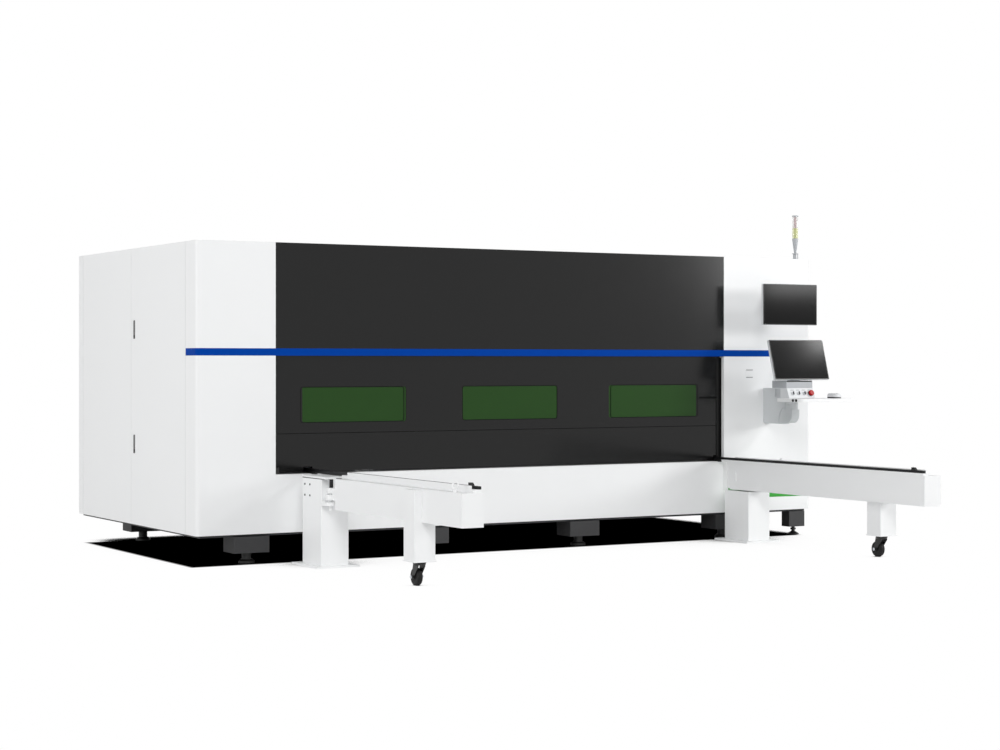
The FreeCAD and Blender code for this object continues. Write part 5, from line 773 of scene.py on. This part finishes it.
@dataclass
class ControlDesk:
    """Small fittings of the operator desk: levers, legends, plugs, a painted shadow strip and
    mouse parts.

    The slanted panel starts at foot, rises by rise and leans back by lean. What stands on it
    has a share of the way up, an offset to the right of its middle and a lift off its face.
    All of these but the share are millimetres.
    """

    foot: Point = (4355.5, -432.0, 1002.3)
    lean: float = 30.0
    rise: float = 70.0
    control_share: float = 0.46
    knob_bodies: tuple[str, ...] = ("knob_left", "knob_middle", "knob_right")
    knob_offsets: tuple[float, ...] = (-75.5, -24.5, 26.5)
    lever: Blank = Blank(width=0.0062, height=0.0235, thick=0.0096, corner=0.003, edge=0.0014)
    lever_lift: float = 7.6
    knob_ring: Profile = ((0.0114, 0.0), (0.0114, 0.0014), (0.0128, 0.0018), (0.0138, 0.0))
    knob_ring_lift: float = 0.1
    stop_offset: float = 82.5
    # the stop's black collar: a real ring that also stands in for painted shade round the
    # button's foot
    stop_collar_and_shade: Profile = ((0.0118, 0.0), (0.0118, 0.0006), (0.0205, 0.0006), (0.021, 0.0))
    stop_collar_lift: float = 0.05
    legend_share: float = 0.8
    stop_legend_shift: float = -4.0
    legend: Blank = Blank(width=0.030, height=0.0036, thick=0.0005, corner=0.0008, edge=0.0002)
    # painted shadow: a black strip where the gap under the upper screen lies in shade
    strip: Blank = Blank(width=0.224, height=0.009, thick=0.0012, corner=0.001, edge=0.0004)
    shadow_strip_spot: Point = (4353.0, -397.8, 1119.6)
    plug: Profile = ((0.0075, 0.0), (0.0075, 0.0088), (0.0096, 0.0092), (0.0098, 0.012),
                     (0.0086, 0.0138), (0.004, 0.0146))
    plug_spots: tuple[Point, ...] = ((4151.0, -631.0, 990.0), (4151.0, -596.0, 990.0))
    band: Blank = Blank(width=0.061, height=0.105, thick=0.0085, corner=0.0225, edge=0.0006)
    band_spot: Point = (4524.0, -572.0, 1002.5)
    gap: Blank = Blank(width=0.0012, height=0.042, thick=0.0003, corner=0.0005, edge=0.0001)
    gap_spot: Point = (4524.0, -596.0, 1036.2)
    wheel: Profile = ((0.008, 0.0), (0.0095, 0.001), (0.0095, 0.005), (0.008, 0.006))
    wheel_spot: Point = (4521.0, -602.0, 1028.6)

    def build(self, wardrobe: Wardrobe) -> None:
        """Make every small fitting of the desk.

        Args:
            wardrobe: gives the finishes.
        """
        self.make_controls(wardrobe)
        self.make_shadow_strip(wardrobe)
        self.make_plugs(wardrobe)
        self.make_mouse(wardrobe)

    def directions(self) -> tuple[np.ndarray, np.ndarray]:
        """Give the panel's outward and upward unit directions."""
        length = math.hypot(self.lean, self.rise)
        return (np.array([0.0, -self.rise, self.lean]) / length,
                np.array([0.0, self.lean, self.rise]) / length)

    def point(self, offset: float, share: float, lift: float) -> np.ndarray:
        """A point over the slanted panel.

        Args:
            offset: distance right of the panel's middle in millimetres.
            share: share of the way up the panel.
            lift: height off the panel in millimetres.

        Returns:
            The point in metres.
        """
        slope = np.array([0.0, self.lean, self.rise])
        out = self.directions()[0]
        return place(*(np.array(self.foot) + offset * RIGHT + slope * share + out * lift))

    def make_controls(self, wardrobe: Wardrobe) -> None:
        """Make levers and rings of the knobs, the stop's black collar, whose dark ring also
        paints the shade at the button's foot, and the blank legends.

        Args:
            wardrobe: gives the finishes.
        """
        out, up = self.directions()
        for body, offset in zip(self.knob_bodies, self.knob_offsets):
            lever = plate(f"{body}_lever", self.point(offset, self.control_share,
                                                      self.lever_lift), self.lever, out, up)
            wardrobe.dress(lever, Finishes.LEVER, body)
            ring = turned_ring(f"{body}_ring", self.knob_ring,
                               self.point(offset, self.control_share, self.knob_ring_lift), out)
            wardrobe.dress(ring, Finishes.ALLOY, "console")
        collar = turned_ring("stop_collar_and_shade", self.stop_collar_and_shade,
                             self.point(self.stop_offset, self.control_share,
                                        self.stop_collar_lift), out)
        wardrobe.dress(collar, Finishes.BLACK_ABS, "console")
        legend_offsets = (*self.knob_offsets, self.stop_offset + self.stop_legend_shift)
        for number, offset in enumerate(legend_offsets, start=1):
            legend = plate(f"legend_plate_{number}", self.point(offset, self.legend_share, 0.0),
                           self.legend, out, up)
            wardrobe.dress(legend, Finishes.LEGEND, "console")

    def make_shadow_strip(self, wardrobe: Wardrobe) -> None:
        """Lay a black strip along the grey block's upper front edge, a painted shadow of the gap
        between the block and the screen above it.

        Args:
            wardrobe: gives the finishes.
        """
        strip = plate("desk_painted_shadow_strip", place(*self.shadow_strip_spot), self.strip, FRONT, UP)
        wardrobe.dress(strip, Finishes.BLACK_ABS, "console")

    def make_plugs(self, wardrobe: Wardrobe) -> None:
        """Press two rubber plugs into the sockets of the shelf's left edge.

        Args:
            wardrobe: gives the finishes.
        """
        for number, spot in enumerate(self.plug_spots, start=1):
            plug = turned(f"shelf_plug_{number}", self.plug, place(*spot), LEFT)
            wardrobe.dress(plug, Finishes.GASKET, "console")

    def make_mouse(self, wardrobe: Wardrobe) -> None:
        """Add the dark foot band, the button gap and the wheel of the mouse.

        Args:
            wardrobe: gives the finishes.
        """
        band = plate("mouse_foot_band", place(*self.band_spot), self.band, UP, BACK)
        wardrobe.dress(band, Finishes.BLACK_ABS, "console")
        gap = plate("mouse_button_gap", place(*self.gap_spot), self.gap, UP, BACK)
        wardrobe.dress(gap, Finishes.BLACK_ABS, "console")
        wheel = turned("mouse_wheel", self.wheel, place(*self.wheel_spot), RIGHT,
                       around=24)
        wardrobe.dress(wheel, Finishes.RUBBER, "console")


@dataclass
class SignalTower:
    """Clear tube with a two-coloured lamp core, in place of the plain lens solid.

    The tower's place, its heights, core_gap and rib are millimetres, the radii metres.
    """

    x: float = 4681.0
    y: float = 60.0
    low: float = 2158.4
    middle: float = 2234.0
    high: float = 2318.0
    outer: float = 0.0218
    wall: float = 0.0022
    core: float = 0.0088
    core_gap: float = 1.0
    rib: float = 7.0
    rib_steps: int = 4
    rib_depth: float = 0.0007

    def build(self, wardrobe: Wardrobe) -> None:
        """Make the two tube lengths and the two cores.

        Args:
            wardrobe: gives the finishes.
        """
        upper = self.tube("tower_tube_upper", self.middle, self.high)
        wardrobe.dress(upper, Finishes.TUBE_CLEAR, "machine")
        lower = self.tube("tower_tube_lower", self.low, self.middle)
        wardrobe.dress(lower, Finishes.TUBE_YELLOW, "machine")
        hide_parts("tower_lens")
        red = self.lamp_core("tower_core_red", self.middle + self.core_gap,
                             self.high - 2.0 * self.core_gap)
        wardrobe.dress(red, Finishes.CORE_RED, "machine")
        green = self.lamp_core("tower_core_green", self.low + self.core_gap,
                               self.middle - self.core_gap)
        wardrobe.dress(green, Finishes.CORE_GREEN, "machine")

    def tube(self, name: str, low: float, high: float) -> bpy.types.Object:
        """One length of the clear tube.

        Args:
            name: name of the piece.
            low: lower end in millimetres.
            high: upper end in millimetres.

        Returns:
            The tube.
        """
        tall = (high - low) / MM_PER_METRE
        inner = self.outer - self.wall
        profile = ((inner, 0.0), (inner, tall), (self.outer, tall), (self.outer, 0.0))
        return turned_ring(name, profile, place(self.x, self.y, low), UP)

    def lamp_core(self, name: str, low: float, high: float) -> bpy.types.Object:
        """A ribbed light guide: the radius dips by a cosine wave at every rib.

        Args:
            name: name of the piece.
            low: lower end in millimetres.
            high: upper end in millimetres.

        Returns:
            The core.
        """
        levels = np.arange(0.0, high - low, self.rib / self.rib_steps)
        dip = self.rib_depth * (0.5 + 0.5 * np.cos(FULL_TURN * levels / self.rib))
        profile = np.stack([self.core - dip, levels / MM_PER_METRE], axis=1)
        return turned(name, profile, place(self.x, self.y, low), UP, around=24)


@dataclass(frozen=True)
class LiftingEye:
    """One lifting eye: its place in millimetres, height in metres, arm and hole direction."""

    name: str
    x: float
    y: float
    tall: float
    body: str
    faces: tuple[float, float, float]


@dataclass
class ArmFittings:
    """Screws, a pad whose black rim paints the shadow line under a cap, pins, lifting eyes and
    nuts of the posts and swing-out arms.

    screw_sunk and nut_inset are millimetres. The parts of a lifting eye are shares of its
    height, and its collar ends below_hole bar radii under the ring's hole.
    """

    post_face_x: float = 635.0
    screw_y: tuple[float, ...] = (-202.0, -275.0)
    screw_z: tuple[float, ...] = (501.0, 433.0)
    screw: Profile = ((0.0068, 0.0), (0.0068, 0.0012), (0.0055, 0.0028), (0.003, 0.0036))
    screw_sunk: float = 0.3
    # rubber pad under the cap; its black rim also stands in for painted shadow under the cap's
    # edge
    pad: Blank = Blank(width=0.1874, height=0.2774, thick=0.0042, corner=0.0062, edge=0.0004)
    shadow_pad_spot: Point = (728.0, -301.0, 539.0)
    sleeve: Profile = ((0.0115, 0.0), (0.0118, 0.001), (0.0118, 0.051), (0.0115, 0.052))
    sleeve_spot: Point = (678.0, -490.0, 490.5)
    fork_faces: tuple[tuple[str, float, float], ...] = (("left", 649.0, 725.0),
                                                        ("right", 4012.0, 4088.0))
    axle_y: float = -1586.0
    axle_z: float = 50.0
    nut: Profile = ((0.0095, 0.0), (0.0105, 0.0008), (0.0105, 0.0048), (0.0095, 0.0056))
    nut_inset: float = 5.0
    arm_top: float = 547.8
    eyes: tuple[LiftingEye, ...] = (
        LiftingEye("left_lifting_eye", 686.0, -2036.0, 0.06, "arm_left", (0.0, 1.0, 0.0)),
        LiftingEye("right_lifting_eye_1", 4010.0, -1966.0, 0.05, "arm_right", (1.0, 0.0, 0.0)),
        LiftingEye("right_lifting_eye_2", 4010.0, -634.0, 0.05, "arm_right", (1.0, 0.0, 0.0)),
    )
    bar_share: float = 0.085
    ring_share: float = 0.40
    collar_share: float = 0.2
    neck_share: float = 0.12
    below_hole: float = 1.4

    def build(self, wardrobe: Wardrobe) -> None:
        """Make all fittings of posts and arms.

        Args:
            wardrobe: gives the finishes.
        """
        self.make_post_fittings(wardrobe)
        for eye in self.eyes:
            self.make_lifting_eye(wardrobe, eye)
        self.make_caster_nuts(wardrobe)

    def make_post_fittings(self, wardrobe: Wardrobe) -> None:
        """Make the four side screws, the rubber pad under the cap, whose black rim also paints
        the cap's shadow line, and the dark hinge pin.

        Args:
            wardrobe: gives the finishes.
        """
        for row, z in enumerate(self.screw_z, start=1):
            for column, y in enumerate(self.screw_y, start=1):
                screw = turned(f"post_screw_{row}_{column}", self.screw,
                               place(self.post_face_x + self.screw_sunk, y, z), LEFT,
                               around=20)
                wardrobe.dress(screw, Finishes.DARK_STEEL, "machine")
        pad = plate("left_post_shadow_pad", place(*self.shadow_pad_spot), self.pad, UP, BACK)
        wardrobe.dress(pad, Finishes.GASKET, "machine")
        sleeve = turned("left_pin_sleeve", self.sleeve, place(*self.sleeve_spot), UP, around=28)
        wardrobe.dress(sleeve, Finishes.DARK_STEEL, "machine")

    def make_lifting_eye(self, wardrobe: Wardrobe, eye: LiftingEye) -> None:
        """Make one lifting eye: a collar with a ring of round bar on it.

        Args:
            wardrobe: gives the finishes.
            eye: the eye's name, place, height, arm and direction.
        """
        base = place(eye.x, eye.y, self.arm_top)
        bar = eye.tall * self.bar_share
        radius = eye.tall * self.ring_share - bar
        centre = base + (eye.tall - radius - bar) * UP
        ring = bar_ring(f"{eye.name}_ring", centre, radius, bar, np.array(eye.faces))
        wardrobe.dress(ring, Finishes.WHITE, eye.body)
        neck = eye.tall - 2.0 * radius - self.below_hole * bar
        broad = eye.tall * self.collar_share
        slim = eye.tall * self.neck_share
        collar = turned(f"{eye.name}_collar", ((broad, 0.0), (broad, neck / 2.0), (slim, neck)),
                        base, UP, around=24)
        wardrobe.dress(collar, Finishes.WHITE, eye.body)

    def make_caster_nuts(self, wardrobe: Wardrobe) -> None:
        """Put a hexagon nut on both ends of each caster's axle.

        Args:
            wardrobe: gives the finishes.
        """
        for side, low, high in self.fork_faces:
            for end, x, way in (("outer", low + self.nut_inset, LEFT),
                                ("inner", high - self.nut_inset, RIGHT)):
                nut = turned(f"{side}_caster_nut_{end}", self.nut,
                             place(x, self.axle_y, self.axle_z), way, around=6)
                wardrobe.dress(nut, Finishes.ZINC, f"fork_{side}")


@dataclass
class CabinTrim:
    """Cords round the door's windows, the grip strip, the door's seals and two cover gaps.

    The windows' sizes are millimetres, as cord_mm is.
    """

    grip: Blank = Blank(width=0.156, height=0.014, thick=0.0015, corner=0.0065, edge=0.0004)
    grip_spot: Point = (3889.0, 50.9, 1003.0)
    seal: Blank = Blank(width=0.02, height=0.73, thick=0.0016, corner=0.0009, edge=0.0004)
    seal_left: Point = (526.9, 39.0, 923.0)
    seal_right: Point = (3992.1, 39.0, 923.0)
    gap: Blank = Blank(width=0.06, height=0.004, thick=0.001, corner=0.0019, edge=0.0003)
    gap_upper: Point = (4217.5, -1.7, 1198.6)
    gap_lower: Point = (4217.5, -1.7, 1146.4)
    window_lefts: tuple[float, ...] = (717.5, 1889.5, 3061.5)
    window_width: float = 740.0
    window_low: float = 870.0
    window_high: float = 1098.0
    window_y: float = 50.6
    cord_corner: float = 0.017
    cord_mm: float = 4.0

    def build(self, wardrobe: Wardrobe) -> None:
        """Lay the small dark strips and one cord round each window.

        Args:
            wardrobe: gives the finishes.
        """
        grip = plate("door_grip_strip", place(*self.grip_spot), self.grip, FRONT, UP)
        wardrobe.dress(grip, Finishes.GASKET, "door")
        for side, spot, way in (("left", self.seal_left, RIGHT),
                                ("right", self.seal_right, LEFT)):
            seal = plate(f"door_seal_{side}", place(*spot), self.seal, way, UP)
            wardrobe.dress(seal, Finishes.GASKET, "machine")
        for level, spot in (("upper", self.gap_upper), ("lower", self.gap_lower)):
            gap = plate(f"port_cover_gap_{level}", place(*spot), self.gap, FRONT, UP)
            wardrobe.dress(gap, Finishes.LEVER, "machine")
        self.lay_cords(wardrobe)

    def lay_cords(self, wardrobe: Wardrobe) -> None:
        """Lay a rubber cord just inside the outline of each window.

        Args:
            wardrobe: gives the finishes.
        """
        middle_z = (self.window_low + self.window_high) / 2.0
        outline = ((self.window_width - self.cord_mm) / MM_PER_METRE,
                   (self.window_high - self.window_low - self.cord_mm) / MM_PER_METRE,
                   self.cord_corner)
        for number, left in enumerate(self.window_lefts, start=1):
            middle = place(left + self.window_width / 2.0, self.window_y, middle_z)
            cord = frame_cord(f"window_cord_{number}", middle, outline,
                              self.cord_mm / MM_PER_METRE, FRONT, UP)
            wardrobe.dress(cord, Finishes.GASKET, "door")


@dataclass
class CuttingTip:
    """Copper nozzle and ceramic ring on the cutting head's tip."""

    head_radius: float = 0.042
    nozzle: Profile = ((0.0012, -0.0003), (0.0027, 0.0006), (0.0089, 0.014), (0.0089, 0.0215),
                       (0.0104, 0.0215), (0.0104, 0.0135), (0.0036, -0.0003))
    ceramic: Profile = ((0.0170, 0.0262), (0.0240, 0.0462), (0.0262, 0.0462), (0.0196, 0.0262))

    def build(self, wardrobe: Wardrobe) -> None:
        """Sleeve the tip with its nozzle and its ring.

        Args:
            wardrobe: gives the finishes.
        """
        low, high = (np.array(corner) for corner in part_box("cutting_head"))
        tip = np.array([(low[0] + high[0]) / 2.0, low[1] + self.head_radius, low[2]])
        nozzle = turned_ring("cutting_nozzle", self.nozzle, tip, UP, around=36)
        wardrobe.dress(nozzle, Finishes.COPPER, "head")
        ring = turned_ring("ceramic_ring", self.ceramic, tip, UP, around=36)
        wardrobe.dress(ring, Finishes.CERAMIC, "head")


# ---------------------------------------------------------------- studio
PURE_WHITE = (1.0, 1.0, 1.0, 1.0)
PALE_GREY = (0.9, 0.9, 0.9, 1.0)


@dataclass(frozen=True)
class Lamp:
    """One soft lamp: its place, where it looks, its width, height and brightness."""

    name: str
    spot: Point
    aim: Point
    wide: float
    tall: float
    radiance: float

    def hang(self) -> None:
        """Put the lamp into the scene; its power is pi * area * radiance."""
        lamp = bpy.data.lights.new(self.name, "AREA")
        lamp.shape = "RECTANGLE"
        lamp.size = self.wide
        lamp.size_y = self.tall
        lamp.energy = math.pi * self.wide * self.tall * self.radiance
        holder = bpy.data.objects.new(self.name, lamp)
        holder.location = self.spot
        gaze = np.array(self.aim) - np.array(self.spot)
        flat = math.hypot(gaze[0], gaze[1])
        holder.rotation_euler = (math.atan2(flat, -gaze[2]), 0.0,
                                 math.atan2(gaze[1], gaze[0]) - QUARTER_TURN)
        bpy.context.scene.collection.objects.link(holder)


@dataclass
class Studio:
    """White floor and backdrop, soft lamps and the camera of the photograph.

    The lamps' places and aims are metres about the origin. painted_shadow_box gives the middle
    and the half width of the floor box under the cabin that is painted black as its shadow, along
    X and along Y, and painted_shadow_ramp how far inside and outside of that outline its edge
    fades.
    """

    camera_mm: Point = (-4598.6, -11622.2, 1250.2)
    turn_deg: float = 30.14
    lens_mm: float = 72.65
    sensor_mm: float = 36.0
    shift: float = -0.01218
    sight: float = 200.0
    floor_half: float = 60.0
    sky: float = 0.36
    # the floor is black below the first share of open sky, white from the last one on
    shadow_reach: float = 3.0
    shadow_samples: int = 24
    shadow_shares: tuple[float, float, float] = (0.28, 0.38, 0.55)
    shadow_fringe: float = 0.9
    # painted shadow: the floor inside this box under the cabin is painted black
    painted_shadow_box: tuple[tuple[float, float], ...] = ((-0.08, 2.345), (0.867, 0.997))
    painted_shadow_ramp: tuple[float, float] = (0.01, 0.02)
    lamps: tuple[Lamp, ...] = (
        Lamp("right_strip_lamp", (9.4, -6.9, 3.14), (0.0, -1.0, 2.6), 4.4, 2.1, 11.0),
        Lamp("right_high_lamp", (10.95, -8.25, 8.0), (2.0, -0.4, 1.2), 2.0, 2.4, 26.0),
        Lamp("front_high_lamp", (-6.5, -12.5, 8.0), (0.0, 0.0, 1.0), 6.0, 6.0, 6.6),
        Lamp("left_fill_lamp", (-13.0, 0.5, 4.5), (-1.0, 0.0, 1.0), 7.0, 7.0, 2.5),
        Lamp("rear_fill_lamp", (2.0, 14.0, 5.0), (0.0, 2.0, 1.2), 8.0, 5.0, 2.2),
    )

    def build(self) -> None:
        """Make floor, world, lamps and camera."""
        self.make_floor()
        self.make_world()
        for lamp in self.lamps:
            lamp.hang()
        self.make_camera()

    def white_rays(self, tree: bpy.types.NodeTree) -> bpy.types.NodeSocket:
        """Tell rays that should meet plain white: camera, glossy and transmission rays.

        Args:
            tree: the node tree that asks.

        Returns:
            A socket of one for those rays and zero for the others.
        """
        path = add_node(tree, "ShaderNodeLightPath")
        first = add_node(tree, "ShaderNodeMath", {"operation": "MAXIMUM"},
                         {0: path.outputs["Is Camera Ray"], 1: path.outputs["Is Glossy Ray"]})
        both = add_node(tree, "ShaderNodeMath", {"operation": "MAXIMUM"},
                        {0: first.outputs[0], 1: path.outputs["Is Transmission Ray"]})
        return both.outputs[0]

    def painted_shadow_mask(self, tree: bpy.types.NodeTree) -> bpy.types.NodeSocket:
        """Mask of the painted shadow: a black box painted on the floor under the closed cabin.

        Args:
            tree: the node tree of the floor.

        Returns:
            A socket of zero under the cabin, one outside it and a short ramp between.
        """
        inside, outside = self.painted_shadow_ramp
        spot = add_node(tree, "ShaderNodeTexCoord")
        axes = add_node(tree, "ShaderNodeSeparateXYZ", links={0: spot.outputs["Object"]})
        shares = []
        for axis, (middle, half) in enumerate(self.painted_shadow_box):
            shift = add_node(tree, "ShaderNodeMath", {"operation": "SUBTRACT", 1: middle},
                             {0: axes.outputs[axis]})
            away = add_node(tree, "ShaderNodeMath", {"operation": "ABSOLUTE"},
                            {0: shift.outputs[0]})
            ramp = add_node(tree, "ShaderNodeMapRange",
                            {"From Min": half - inside, "From Max": half + outside},
                            {"Value": away.outputs[0]})
            shares.append(ramp.outputs[0])
        edge = add_node(tree, "ShaderNodeMath", {"operation": "MAXIMUM"},
                        {0: shares[0], 1: shares[1]})
        return edge.outputs[0]

    def shadow(self, tree: bpy.types.NodeTree) -> bpy.types.NodeSocket:
        """Give the contact shadow: how much near objects hide of a floor point's sky.

        Args:
            tree: the node tree of the floor.

        Returns:
            A socket of zero in the deepest shadow and one on the open floor.
        """
        black, grey, clear = self.shadow_shares
        hidden = add_node(tree, "ShaderNodeAmbientOcclusion",
                          {"samples": self.shadow_samples, "Distance": self.shadow_reach})
        dark = add_node(tree, "ShaderNodeMapRange", {"From Min": black, "From Max": grey},
                        {"Value": hidden.outputs["AO"]})
        soft = add_node(tree, "ShaderNodeMapRange", {"From Min": grey, "From Max": clear,
                                                     "To Min": self.shadow_fringe},
                        {"Value": hidden.outputs["AO"]})
        shade = add_node(tree, "ShaderNodeMath", {"operation": "MULTIPLY"},
                         {0: dark.outputs[0], 1: soft.outputs[0]})
        return shade.outputs[0]

    def make_floor(self) -> None:
        """Lay one large white floor that keeps the dark contact shadow of the machine.

        The ground under the low closed cabin carries a painted shadow, black out to its outline,
        as in the photograph.
        """
        half = self.floor_half
        mesh = bpy.data.meshes.new("floor")
        mesh.from_pydata([(-half, -half, 0.0), (half, -half, 0.0), (half, half, 0.0),
                          (-half, half, 0.0)], [], [(0, 1, 2, 3)])
        floor = bpy.data.objects.new("floor", mesh)
        bpy.context.scene.collection.objects.link(floor)
        material = bpy.data.materials.new("floor_paint")
        material.use_nodes = True
        tree = material.node_tree
        tree.nodes.clear()
        # the contact shadow times the black painted shadow box under the cabin
        level = add_node(tree, "ShaderNodeMath", {"operation": "MULTIPLY"},
                         {0: self.shadow(tree), 1: self.painted_shadow_mask(tree)})
        white = add_node(tree, "ShaderNodeEmission", {"Color": PURE_WHITE},
                         {"Strength": level.outputs[0]})
        matt = add_node(tree, "ShaderNodeBsdfDiffuse", {"Color": PALE_GREY})
        both = add_node(tree, "ShaderNodeMixShader",
                        links={0: self.white_rays(tree), 1: matt.outputs[0],
                               2: white.outputs[0]})
        add_node(tree, "ShaderNodeOutputMaterial", links={"Surface": both.outputs[0]})
        mesh.materials.append(material)

    def make_world(self) -> None:
        """Light the object from a plain pale sky that the camera and gloss see as white."""
        world = bpy.data.worlds.new("studio")
        bpy.context.scene.world = world
        world.use_nodes = True
        tree = world.node_tree
        tree.nodes.clear()
        strength = add_node(tree, "ShaderNodeMapRange", {"To Min": self.sky},
                            {"Value": self.white_rays(tree)})
        sky = add_node(tree, "ShaderNodeBackground", {"Color": PURE_WHITE},
                       {"Strength": strength.outputs[0]})
        add_node(tree, "ShaderNodeOutputWorld", links={"Surface": sky.outputs[0]})

    def make_camera(self) -> None:
        """Stand the camera where the photograph was taken from."""
        camera = bpy.data.cameras.new("camera")
        camera.sensor_width = self.sensor_mm
        camera.lens = self.lens_mm
        camera.shift_y = self.shift
        camera.clip_end = self.sight
        holder = bpy.data.objects.new("camera", camera)
        holder.location = place(*self.camera_mm).tolist()
        holder.rotation_euler = (QUARTER_TURN, 0.0, -math.radians(self.turn_deg))
        bpy.context.scene.collection.objects.link(holder)
        bpy.context.scene.camera = holder
        bpy.context.scene.view_settings.view_transform = "Standard"


def main() -> None:
    """Dress the machine and set the studio."""
    logging.basicConfig(level=logging.INFO, format="%(name)s: %(message)s")
    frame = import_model()
    Studio().build()
    wardrobe = Wardrobe()
    wardrobe.dress_nodes(frame["nodes"])
    for group in (Screens(), ControlDesk(), SignalTower(), ArmFittings(), CabinTrim(),
                  CuttingTip()):
        group.build(wardrobe)
        LOG.info("%s built", type(group).__name__)


if __name__ == "__main__":
    main()
